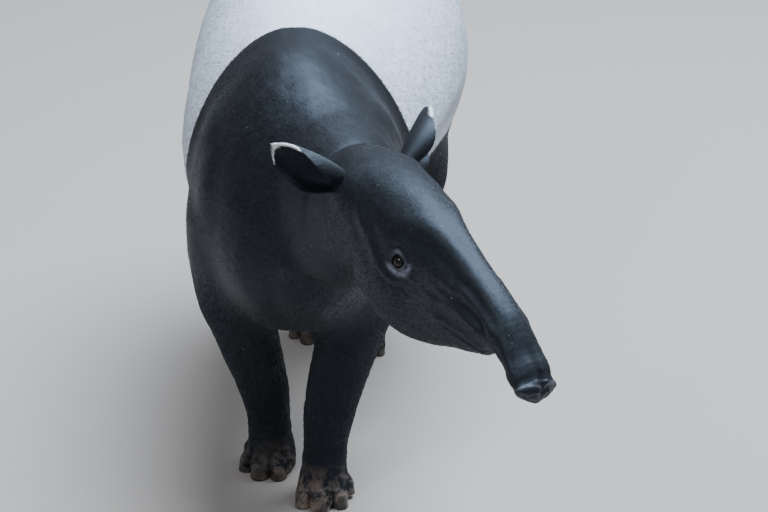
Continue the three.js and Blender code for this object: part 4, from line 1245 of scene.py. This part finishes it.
# Coat: short tufts that lie along the body, each a slim closed spike with its root sunk in the skin
coatForm = {
    "sink": 0.0008,
    "seed": 11,
    "patch": 0.0015,  # half the width of a tuft's place on the bake map
    "stray": 0.08,
    "back": (0.5, 0.45),  # where the back of a tuft stands, ahead and up, as shares of its width
    "roundness": 0.28,
    "tipLean": 0.15,
    "legTop": 0.42,
    "haunchFrom": 0.45,
    "saddleFrom": -0.004,
    # least and most share of a zone's length, width and lift
    "lengths": (0.7, 1.25),
    "widths": (0.75, 1.3),
    "lifts": (0.3, 1.9),
}
# Tufts, length, width, lift in degrees
coatZones = {
    "coat_head": {"tufts": 30000, "length": 0.0058, "width": 0.0008, "lift": 4},
    "coat_ears": {"tufts": 12000, "length": 0.0062, "width": 0.0009, "lift": 9},
    "coat_front_left": {"tufts": 22000, "length": 0.0092, "width": 0.0011, "lift": 3.5},
    "coat_front_right": {"tufts": 22000, "length": 0.0092, "width": 0.0011, "lift": 3.5},
    "coat_saddle_left": {"tufts": 38000, "length": 0.0105, "width": 0.0011, "lift": 4.5},
    "coat_saddle_right": {"tufts": 38000, "length": 0.0105, "width": 0.0011, "lift": 4.5},
    "coat_haunches": {"tufts": 24000, "length": 0.01, "width": 0.0012, "lift": 6},
    "coat_forelegs": {"tufts": 18000, "length": 0.0072, "width": 0.001, "lift": 6},
    "coat_hindlegs": {"tufts": 20000, "length": 0.0072, "width": 0.001, "lift": 6},
}


def zoneOf(p, white, isEar):
    left = p[:, 0] > bodyMiddle
    behind = p[:, 1] > coatForm["haunchFrom"]
    saddle = white > coatForm["saddleFrom"]
    low = (p[:, 2] < coatForm["legTop"]) & ~saddle
    zone = np.where(left, "coat_front_left", "coat_front_right").astype(object)
    zone[saddle & left] = "coat_saddle_left"
    zone[saddle & ~left] = "coat_saddle_right"
    zone[~saddle & behind] = "coat_haunches"
    zone[low & ~behind] = "coat_forelegs"
    zone[low & behind] = "coat_hindlegs"
    zone[inHead(p)[:, 0] > headStart["coat"]] = "coat_head"
    zone[isEar] = "coat_ears"
    return zone


def bakePlace(p, zone):
    # Where a point lies on an unwrap of the body: the way round and the way along its own part
    head = inHead(p)
    if zone == "coat_head":
        turn = np.arctan2(head[:, 1], head[:, 2] + 0.15 + 0.16 * np.clip(head[:, 0], 0, 0.6))
        return np.stack([turn / math.tau + 0.5, (head[:, 0] + 0.15) / 0.75], 1)
    if zone == "coat_ears":
        side = (p[:, 0] > np.median(p[:, 0])).astype(float)
        return np.stack([(head[:, 2] + 0.16) / 0.3 * 0.48 + 0.5 * side, (head[:, 0] + 0.2) / 0.3], 1)
    if zone in ("coat_forelegs", "coat_hindlegs"):
        left = p[:, 0] > bodyMiddle
        pair = "fore" if zone == "coat_forelegs" else "hind"
        middle = np.where(left[:, None], legs[f"{pair}_left"]["sole"], legs[f"{pair}_right"]["sole"])
        turn = np.arctan2(p[:, 0] - middle[:, 0], p[:, 1] - middle[:, 1])
        return np.stack([(turn / math.tau + 0.5) * 0.48 + 0.5 * left, p[:, 2] / 0.46], 1)
    x, z = p[:, 0] + 0.01, p[:, 2] - 0.69
    along = p[:, 1] + (np.hypot(x, z) - 0.3) * np.where(p[:, 1] > coatForm["haunchFrom"], -1, 1)
    return np.stack([np.arctan2(x, z) / math.tau + 0.5, (along + 0.75) / 2.2], 1)


def vertexNormals(points, quads):
    spun = np.repeat(facingOf(points, quads), 4, axis=0)
    total = [np.bincount(quads.reshape(-1), spun[:, i], len(points)) for i in range(3)]
    return unitRows(np.stack(total, 1))


def growTufts(name, form, triangles, facts, dice):
    count = form["tufts"]
    a, b, c = (facts["points"][triangles[:, i]] for i in range(3))
    area = np.linalg.norm(np.cross(b - a, c - a), axis=1)
    sparse = facts["marks"]["bare"][triangles].max(1)
    sums = np.cumsum(area * np.clip(1 - 1.15 * sparse, 0, 1))
    pick = np.searchsorted(sums, dice.uniform(0, sums[-1], count))
    pick = triangles[np.minimum(pick, len(triangles) - 1)]
    r1, r2 = np.sqrt(dice.uniform(0, 1, count)), dice.uniform(0, 1, count)
    share = np.stack([1 - r1, r1 * (1 - r2), r1 * r2], 1)

    def blended(values):
        return (values[pick] * (share if values.ndim == 1 else share[..., None])).sum(1)

    root, normal = blended(facts["points"]), unitRows(blended(facts["normals"]))
    lie = blended(facts["lie"]) + dice.normal(0, coatForm["stray"], (count, 3))
    lie = unitRows(lie - normal * (lie * normal).sum(1)[:, None])
    across = np.cross(normal, lie)
    grown = np.clip(1 - 0.5 * blended(facts["marks"]["bare"]), 0.3, 1)
    size = dice.uniform(*coatForm["lengths"], count) * grown
    length = (form["length"] * size)[:, None]
    width = (form["width"] * dice.uniform(*coatForm["widths"], count))[:, None]
    lift = np.radians(form["lift"] * dice.uniform(*coatForm["lifts"], count))[:, None]
    base = root - normal * coatForm["sink"]
    ahead, up = coatForm["back"]
    corners = np.stack([
        base + across * width / 2,
        base - across * width / 2,
        root + normal * width * up + lie * width * ahead,
        root + lie * length * np.cos(lift) + normal * length * np.sin(lift),
    ], 1)
    corners[..., 2] = np.maximum(corners[..., 2], skinForm["sole"])
    faces = np.array([(0, 2, 3), (2, 1, 3), (1, 0, 3), (0, 1, 2)])
    faces = (np.arange(count)[:, None, None] * 4 + faces).reshape(-1, 3)
    piece = meshFrom(name, corners.reshape(-1, 3), faces)
    place = np.clip(bakePlace(root, name), 0.004, 0.996)
    offsets = np.array([(-1, -1), (1, -1), (0, -0.4), (0, 1)]) * coatForm["patch"]
    uv = (place[:, None, :] + offsets).reshape(-1, 2)
    layer = piece.data.uv_layers.new(name="OFBake")
    layer.uv.foreach_set("vector", uv[faces.reshape(-1)].astype(np.float32).reshape(-1))
    side = coatForm["roundness"] * across
    tip = coatForm["tipLean"] * lie
    shading = unitRows(np.stack([normal + side, normal - side, normal, normal + tip], 1))
    piece.data.normals_split_custom_set_from_vertices(shading.reshape(-1, 3))
    for mark in facts["marks"]:
        writeMark(piece, mark, np.repeat(blended(facts["marks"][mark]), 4))
    writeMark(piece, "tone", np.repeat(dice.uniform(0, 1, count), 4))
    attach(piece, "root")
    return piece


def buildCoat():
    dice = np.random.default_rng(coatForm["seed"])
    points, quads, marks = hide["points"], hide["quads"], hide["marks"]
    facts = {"points": points, "normals": vertexNormals(points, quads), "lie": hide["lie"], "marks": marks}
    triangles = np.concatenate([quads[:, [0, 1, 2]], quads[:, [0, 2, 3]]])
    isEar = triangles[:, 0] >= hide["earStart"]
    zones = zoneOf(points[triangles].mean(1), marks["white"][triangles].mean(1), isEar)
    pieces = []
    for name, form in coatZones.items():
        pieces.append(growTufts(name, form, triangles[zones == name], facts, dice))
        print(name, "grown:", form["tufts"], "tufts")
    return pieces


coat = buildCoat()


# Materials. A group's sockets are listed as (name, kind, value)
def newGroup(name, inputs, outputs):
    group = bpy.data.node_groups.new(name, "ShaderNodeTree")
    for label, kind, value in inputs:
        socket = group.interface.new_socket(label, in_out="INPUT", socket_type=kind)
        if value is not None:
            socket.default_value = value
    for label, kind in outputs:
        group.interface.new_socket(label, in_out="OUTPUT", socket_type=kind)
    entry = group.nodes.new("NodeGroupInput")
    leave = group.nodes.new("NodeGroupOutput")
    return group, entry.outputs, leave.inputs


def node(tree, kind, inputs=None, **settings):
    made = tree.nodes.new(kind)
    for key, value in settings.items():
        setattr(made, key, value)
    for key, value in (inputs or {}).items():
        if isinstance(value, bpy.types.NodeSocket):
            tree.links.new(value, made.inputs[key])
        else:
            made.inputs[key].default_value = value
    return made


def maths(tree, operation, *values, clamp=False):
    made = node(tree, "ShaderNodeMath", dict(enumerate(values)), operation=operation, use_clamp=clamp)
    return made.outputs[0]


def plus(tree, a, b):
    return maths(tree, "ADD", a, b)


def times(tree, *factors):
    made = factors[0]
    for factor in factors[1:]:
        made = maths(tree, "MULTIPLY", made, factor)
    return made


def noise(tree, vector, scale, detail=2.0, roughness=0.5):
    inputs = {"Scale": scale, "Detail": detail, "Roughness": roughness, "Vector": vector}
    return node(tree, "ShaderNodeTexNoise", inputs).outputs["Fac"]


def ranged(tree, value, fromMin, fromMax, toMin=0.0, toMax=1.0):
    inputs = {"Value": value, "From Min": fromMin, "From Max": fromMax, "To Min": toMin, "To Max": toMax}
    return node(tree, "ShaderNodeMapRange", inputs, interpolation_type="SMOOTHSTEP").outputs["Result"]


def mixed(tree, share, a, b, blend="MIX"):
    made = node(tree, "ShaderNodeMix", {0: share, 6: a, 7: b}, data_type="RGBA", blend_type=blend)
    return made.outputs[2]


def mark(tree, name, vector=False):
    made = node(tree, "ShaderNodeAttribute", attribute_name=name)
    return made.outputs["Vector" if vector else "Fac"]


def bumped(tree, height, strength, distance=0.001):
    inputs = {"Height": height, "Strength": strength, "Distance": distance}
    return node(tree, "ShaderNodeBump", inputs).outputs["Normal"]


# Tones that break up the black and the white
toneLook = {
    "patch": (0.52, 0.57, 0.66, 1),
    "streak": (0.42, 0.46, 0.53, 1),
    "edge": (0.75, 0.79, 0.84, 1),
    "warmBlack": (0.0096, 0.0085, 0.0078, 1),
    "greyBlack": (0.0135, 0.014, 0.0155, 1),
}


def buildMarkingGroup():
    # Black and white with a hair-soft edge, each with its own unevenness
    group, given, out = newGroup("markings", [
        ("Place", "NodeSocketVector", None),
        ("White Side", "NodeSocketFloat", 0.0),
        ("Black", "NodeSocketColor", (0.01, 0.011, 0.014, 1)),
        ("White", "NodeSocketColor", (0.6, 0.62, 0.66, 1)),
        ("Soft", "NodeSocketFloat", 0.004),
    ], [("Colour", "NodeSocketColor"), ("Mask", "NodeSocketFloat")])
    place, look = given["Place"], toneLook
    jitter = maths(group, "SUBTRACT", noise(group, place, 190, 3), 0.5)
    side = plus(group, given["White Side"], times(group, jitter, 0.006))
    mask = ranged(group, maths(group, "DIVIDE", side, given["Soft"]), -1, 1)
    patchy = ranged(group, noise(group, place, 7, 4, 0.6), 0.35, 0.7)
    fine = ranged(group, noise(group, place, 60, 4, 0.65), 0.3, 0.75)
    edge = ranged(group, given["White Side"], 0.05, 0.0)
    warm = ranged(group, noise(group, place, 3.2, 3), 0.42, 0.68)
    white = mixed(group, times(group, patchy, 0.35), given["White"], look["patch"])
    white = mixed(group, times(group, fine, 0.22), white, look["streak"])
    white = mixed(group, times(group, edge, 0.35), white, look["edge"])
    black = mixed(group, times(group, warm, 0.5), given["Black"], look["warmBlack"])
    black = mixed(group, times(group, fine, 0.3), black, look["greyBlack"])
    group.links.new(mixed(group, mask, black, white), out["Colour"])
    group.links.new(mask, out["Mask"])
    return group


def buildSpeckGroup():
    # Fine specks: grit and dark pores on the white, pale grit on the black
    group, given, out = newGroup("specks", [
        ("Place", "NodeSocketVector", None),
        ("Scale", "NodeSocketFloat", 260.0),
        ("Share", "NodeSocketFloat", 0.1),
    ], [("Mask", "NodeSocketFloat")])
    cells = node(group, "ShaderNodeTexVoronoi", {"Vector": given["Place"], "Scale": given["Scale"]})
    near = ranged(group, cells.outputs["Distance"], 0.32, 0.12)
    dice = node(group, "ShaderNodeSeparateColor", {"Color": cells.outputs["Color"]}).outputs["Red"]
    some = maths(group, "LESS_THAN", dice, given["Share"])
    clumps = ranged(group, noise(group, given["Place"], 11, 3, 0.6), 0.4, 0.62)
    group.links.new(times(group, near, some, clumps), out["Mask"])
    return group


def buildGrainGroup():
    # The grain of short hair, drawn out along its lie on body, legs and head, over the leathery skin
    group, given, out = newGroup("hairGrain", [
        ("Place", "NodeSocketVector", None),
        ("Head Place", "NodeSocketVector", None),
        ("On Head", "NodeSocketFloat", 0.0),
        ("On Leg", "NodeSocketFloat", 0.0),
        ("Fineness", "NodeSocketFloat", 850.0),
        ("Bare", "NodeSocketFloat", 0.0),
    ], [("Height", "NodeSocketFloat"), ("Streak", "NodeSocketFloat")])

    def drawnOut(place, way):
        drawn = node(group, "ShaderNodeVectorMath", {0: place, 1: way}, operation="MULTIPLY").outputs[0]
        return noise(group, drawn, given["Fineness"], 3.0, 0.6)

    def between(share, a, b):
        return node(group, "ShaderNodeMix", {0: share, 2: a, 3: b}, data_type="FLOAT").outputs[0]

    body = drawnOut(given["Place"], (1, 0.13, 1))
    leg = drawnOut(given["Place"], (1, 1, 0.13))
    face = drawnOut(given["Head Place"], (0.13, 1, 1))
    streak = between(given["On Head"], between(given["On Leg"], body, leg), face)
    clumps = noise(group, given["Place"], 90, 3)
    hair = plus(group, streak, times(group, clumps, 0.2))
    inputs = {"Vector": given["Place"], "Scale": 330.0}
    pores = node(group, "ShaderNodeTexVoronoi", inputs, feature="DISTANCE_TO_EDGE")
    leather = ranged(group, pores.outputs["Distance"], 0.0, 0.22)
    height = between(given["Bare"], hair, leather)
    group.links.new(height, out["Height"])
    group.links.new(streak, out["Streak"])
    return group


def buildDustGroup():
    # Dry earth that clings to the feet and thins out up the legs
    group, given, out = newGroup("dust", [
        ("Place", "NodeSocketVector", None),
        ("Reach", "NodeSocketFloat", 0.09),
        ("Most", "NodeSocketFloat", 0.7),
        ("Dusty Foot", "NodeSocketVector", (0, 0, 0)),
    ], [("Mask", "NodeSocketFloat")])
    height = node(group, "ShaderNodeSeparateXYZ", {0: given["Place"]}).outputs["Z"]
    low = maths(group, "SUBTRACT", 1.0, maths(group, "DIVIDE", height, given["Reach"]), clamp=True)
    patchy = ranged(group, noise(group, given["Place"], 34, 5, 0.65), 0.4, 0.62)
    between = {0: given["Place"], 1: given["Dusty Foot"]}
    gap = node(group, "ShaderNodeVectorMath", between, operation="DISTANCE").outputs["Value"]
    near = ranged(group, gap, 0.17, 0.1, 0.35, 1.0)
    group.links.new(times(group, low, patchy, given["Most"], near), out["Mask"])
    return group


groups = {
    "markings": buildMarkingGroup(),
    "specks": buildSpeckGroup(),
    "grain": buildGrainGroup(),
    "dust": buildDustGroup(),
}


def placeGroup(tree, name, inputs):
    return node(tree, "ShaderNodeGroup", inputs, node_tree=groups[name]).outputs


def newMaterial(name):
    material = bpy.data.materials.new(name)
    material.use_nodes = True
    tree = material.node_tree
    place = node(tree, "ShaderNodeTexCoord").outputs["Object"]
    return material, tree, tree.nodes["Principled BSDF"], place


# Colours of the hide, with painted shade for creases and nostrils and a painted highlight round the eyes, and
# where dry earth lies on it
hideLook = {
    "black": (0.0068, 0.0067, 0.0067, 1),
    "white": (0.69, 0.765, 0.87, 1),
    # pale skin below the eye together with a painted highlight
    "eyePaleAndHighlight": (0.22, 0.235, 0.3, 1),
    "lidRim": (0.012, 0.012, 0.014, 1),
    "tipRim": (0.16, 0.16, 0.19, 1),
    "cup": (0.006, 0.006, 0.007, 1),
    "earRim": (0.88, 0.88, 0.86, 1),
    # painted shade inside the nostrils
    "nostril": (0.006, 0.004, 0.004, 1),
    # painted shade in the creases
    "creaseShade": (0.003, 0.003, 0.0035, 1),
    "dust": (0.33, 0.25, 0.2, 1),
    "grit": (0.3, 0.31, 0.33, 1),
    "pore": (0.16, 0.165, 0.18, 1),
    "skinShine": (0.6, 0.77, 1, 1),
    "hairShine": (0.68, 0.82, 1, 1),
    "bloom": (0.6, 0.75, 1, 1),
    "specular": 0.42,
    "sheen": 0.02,
    "sheenRoughness": 0.45,
}
dustyFoot = legs["fore_left"]["sole"] + makerShift


def hideColour(tree, place):
    # The same colours on skin and coat, from the marks that both carry
    look = hideLook
    marking = placeGroup(tree, "markings", {
        "Place": place, "White Side": mark(tree, "white"),
        "Black": look["black"], "White": look["white"], "Soft": 0.0035,
    })
    white = marking["Mask"]
    dark = maths(tree, "SUBTRACT", 1.0, white, clamp=True)
    pores = placeGroup(tree, "specks", {"Place": place, "Scale": 210.0, "Share": 0.34})["Mask"]
    grit = placeGroup(tree, "specks", {"Place": place, "Scale": 150.0, "Share": 0.012})["Mask"]
    uneven = ranged(tree, noise(tree, place, 110, 3, 0.6), 0.35, 0.62, 0.45, 1.0)
    dusting = {"Place": place, "Reach": 0.1, "Most": 0.92, "Dusty Foot": dustyFoot}
    colour = marking["Colour"]
    for share, name in (
        (times(tree, pores, white, 0.75), "pore"),
        (times(tree, grit, dark, 0.55), "grit"),
        # pale skin round the eye with a painted highlight
        (times(tree, mark(tree, "eyePaleAndHighlight"), uneven), "eyePaleAndHighlight"),
        (times(tree, mark(tree, "lidRim"), 0.8), "lidRim"),
        (times(tree, mark(tree, "tipRim"), 0.5), "tipRim"),
        (times(tree, mark(tree, "cup"), dark), "cup"),
        (times(tree, mark(tree, "cup"), white), "earRim"),
        # painted shade in the nostril openings
        (mark(tree, "nostril"), "nostril"),
        (placeGroup(tree, "dust", dusting)["Mask"], "dust"),
    ):
        colour = mixed(tree, share, colour, look[name])
    return colour, white


def duller(tree, place, rough):
    # The legs shine less than the back
    height = node(tree, "ShaderNodeSeparateXYZ", {0: place}).outputs["Z"]
    return plus(tree, rough, times(tree, ranged(tree, height, 0.62, 0.3), 0.25))


def setShine(shader, tint):
    shader.inputs["Specular IOR Level"].default_value = hideLook["specular"]
    shader.inputs["Specular Tint"].default_value = tint
    shader.inputs["Sheen Weight"].default_value = hideLook["sheen"]
    shader.inputs["Sheen Roughness"].default_value = hideLook["sheenRoughness"]
    shader.inputs["Sheen Tint"].default_value = hideLook["bloom"]


def buildSkinMaterial():
    material, tree, shader, place = newMaterial("hide")
    colour, white = hideColour(tree, place)
    # painted shade: the colour darkens where the relief sinks into folds and grooves
    creaseShadeShare = ranged(tree, mark(tree, "rise"), -0.0012, -0.006)
    colour = mixed(tree, times(tree, creaseShadeShare, 0.6), colour, hideLook["creaseShade"])
    tree.links.new(colour, shader.inputs["Base Color"])
    grain = placeGroup(tree, "grain", {
        "Place": place, "Head Place": mark(tree, "headPlace", True),
        "On Head": mark(tree, "onHead"), "On Leg": mark(tree, "onLeg"), "Bare": mark(tree, "bare"),
    })
    tree.links.new(bumped(tree, grain["Height"], 0.3), shader.inputs["Normal"])
    rough = plus(tree, 0.44, times(tree, grain["Streak"], 0.16))
    rough = maths(tree, "SUBTRACT", rough, times(tree, mark(tree, "bare"), 0.1))
    rough = duller(tree, place, plus(tree, rough, times(tree, white, 0.15)))
    tree.links.new(rough, shader.inputs["Roughness"])
    setShine(shader, hideLook["skinShine"])
    return material


def buildCoatMaterial():
    material, tree, shader, place = newMaterial("coatHair")
    colour, white = hideColour(tree, place)
    tone = ranged(tree, mark(tree, "tone"), 0, 1, 0.72, 1.3)
    grey = node(tree, "ShaderNodeCombineColor", {0: tone, 1: tone, 2: tone}).outputs[0]
    tree.links.new(mixed(tree, 1.0, colour, grey, "MULTIPLY"), shader.inputs["Base Color"])
    rough = duller(tree, place, plus(tree, 0.46, times(tree, white, 0.14)))
    tree.links.new(rough, shader.inputs["Roughness"])
    setShine(shader, hideLook["hairShine"])
    return material


eyeLook = {
    "iris": ((0.007, 0.005, 0.004, 1), (0.03, 0.021, 0.016, 1)),
    "ring": (0.012, 0.009, 0.008, 1),
    "pupil": (0.002, 0.002, 0.003, 1),
    "roughness": 0.25,
    "specular": 0.1,
    "coat": 0.6,
    "coatRoughness": 0.03,
}


def buildEyeMaterial():
    material, tree, shader, _ = newMaterial("eyeBrown")
    gaze = mark(tree, "gaze")
    spokes = noise(tree, mark(tree, "iris", True), 6, 4, 0.7)
    colour = mixed(tree, spokes, *eyeLook["iris"])
    colour = mixed(tree, ranged(tree, gaze, 0.5, 0.72), colour, eyeLook["ring"])
    colour = mixed(tree, ranged(tree, gaze, 0.46, 0.36), colour, eyeLook["pupil"])
    tree.links.new(colour, shader.inputs["Base Color"])
    shader.inputs["Roughness"].default_value = eyeLook["roughness"]
    shader.inputs["Specular IOR Level"].default_value = eyeLook["specular"]
    shader.inputs["Coat Weight"].default_value = eyeLook["coat"]
    shader.inputs["Coat Roughness"].default_value = eyeLook["coatRoughness"]
    return material


nailLook = {
    "horn": ((0.016, 0.015, 0.015, 1), (0.075, 0.062, 0.052, 1)),
    "dust": (0.33, 0.26, 0.2, 1),
    "dustReach": 0.08,
}


def buildNailMaterial():
    material, tree, shader, place = newMaterial("nailHorn")
    way = node(tree, "ShaderNodeCombineXYZ", {0: mark(tree, "grow"), 1: times(tree, mark(tree, "ray"), 5.0)})
    streaks = noise(tree, way.outputs[0], 3.5, 4, 0.6)
    blotch = noise(tree, place, 45, 4, 0.6)
    dusting = {"Place": place, "Reach": nailLook["dustReach"], "Most": 1.0, "Dusty Foot": dustyFoot}
    dust = times(tree, placeGroup(tree, "dust", dusting)["Mask"], ranged(tree, streaks, 0.3, 0.65, 0.35, 1.0))
    colour = mixed(tree, ranged(tree, streaks, 0.35, 0.7), *nailLook["horn"])
    tree.links.new(mixed(tree, dust, colour, nailLook["dust"]), shader.inputs["Base Color"])
    tree.links.new(ranged(tree, blotch, 0.3, 0.7, 0.4, 0.7), shader.inputs["Roughness"])
    tree.links.new(bumped(tree, plus(tree, streaks, blotch), 0.5), shader.inputs["Normal"])
    return material


for pieces, material in (
    ([skin], buildSkinMaterial()),
    (coat, buildCoatMaterial()),
    (eyeballs, buildEyeMaterial()),
    (nails, buildNailMaterial()),
):
    for piece in pieces:
        piece.data.materials.append(material)
print("materials set")


# Floor, lights and camera
stageForm = {
    "floorSize": 60,
    "floorColour": (0.42, 0.385, 0.35, 1),
    "floorRoughness": 0.9,
    "skyColour": (0.72, 0.77, 0.86, 1),
    "skyStrength": 0.4,
    "aim": (0, -0.2, 0.6),
    # name, place, size, power, colour
    "lights": [
        ("overhead", (1.2, 1.3, 6.2), 5, 1180, (0.77, 0.87, 1)),
        ("glint", (-2.2, -3.8, 4.6), 1, 75, (0.95, 0.97, 1)),
    ],
}
cameraForm = {
    "back": (0.1095, -0.8921, 0.4384),
    "target": (0.19765, -0.07007, 0.60642),
    "distance": 5.65,
    "lens": 128.906,
    "sensor": 36,
}


def buildFloor():
    mesh = bpy.data.meshes.new("floor")
    half = stageForm["floorSize"] / 2
    corners = [(-half, -half, 0), (half, -half, 0), (half, half, 0), (-half, half, 0)]
    mesh.from_pydata(corners, [], [(0, 1, 2, 3)])
    floor = bpy.data.objects.new("floor", mesh)
    bpy.context.scene.collection.objects.link(floor)
    material = bpy.data.materials.new("floorPale")
    material.use_nodes = True
    shader = material.node_tree.nodes["Principled BSDF"]
    shader.inputs["Base Color"].default_value = stageForm["floorColour"]
    shader.inputs["Roughness"].default_value = stageForm["floorRoughness"]
    mesh.materials.append(material)


def addAreaLight(name, place, towards, size, power, colour):
    light = bpy.data.lights.new(name, "AREA")
    light.shape = "DISK"
    light.size = size
    light.energy = power
    light.color = colour
    lamp = bpy.data.objects.new(name, light)
    bpy.context.scene.collection.objects.link(lamp)
    lamp.location = place
    lamp.rotation_euler = (Vector(towards) - Vector(place)).to_track_quat("-Z", "Y").to_euler()


def buildCamera():
    camera = bpy.data.cameras.new("camera")
    camera.sensor_width = cameraForm["sensor"]
    camera.lens = cameraForm["lens"]
    back = Vector(cameraForm["back"]).normalized()
    target = Vector(cameraForm["target"]) + Vector(makerShift)
    seat = bpy.data.objects.new("camera", camera)
    bpy.context.scene.collection.objects.link(seat)
    seat.location = target + back * cameraForm["distance"]
    seat.rotation_euler = back.to_track_quat("Z", "Y").to_euler()
    bpy.context.scene.camera = seat


buildFloor()
world = bpy.data.worlds.new("sky")
world.use_nodes = True
world.node_tree.nodes["Background"].inputs["Color"].default_value = stageForm["skyColour"]
world.node_tree.nodes["Background"].inputs["Strength"].default_value = stageForm["skyStrength"]
bpy.context.scene.world = world
for name, place, size, power, colour in stageForm["lights"]:
    addAreaLight(name, place, stageForm["aim"], size, power, colour)
buildCamera()
print("stage and camera set")
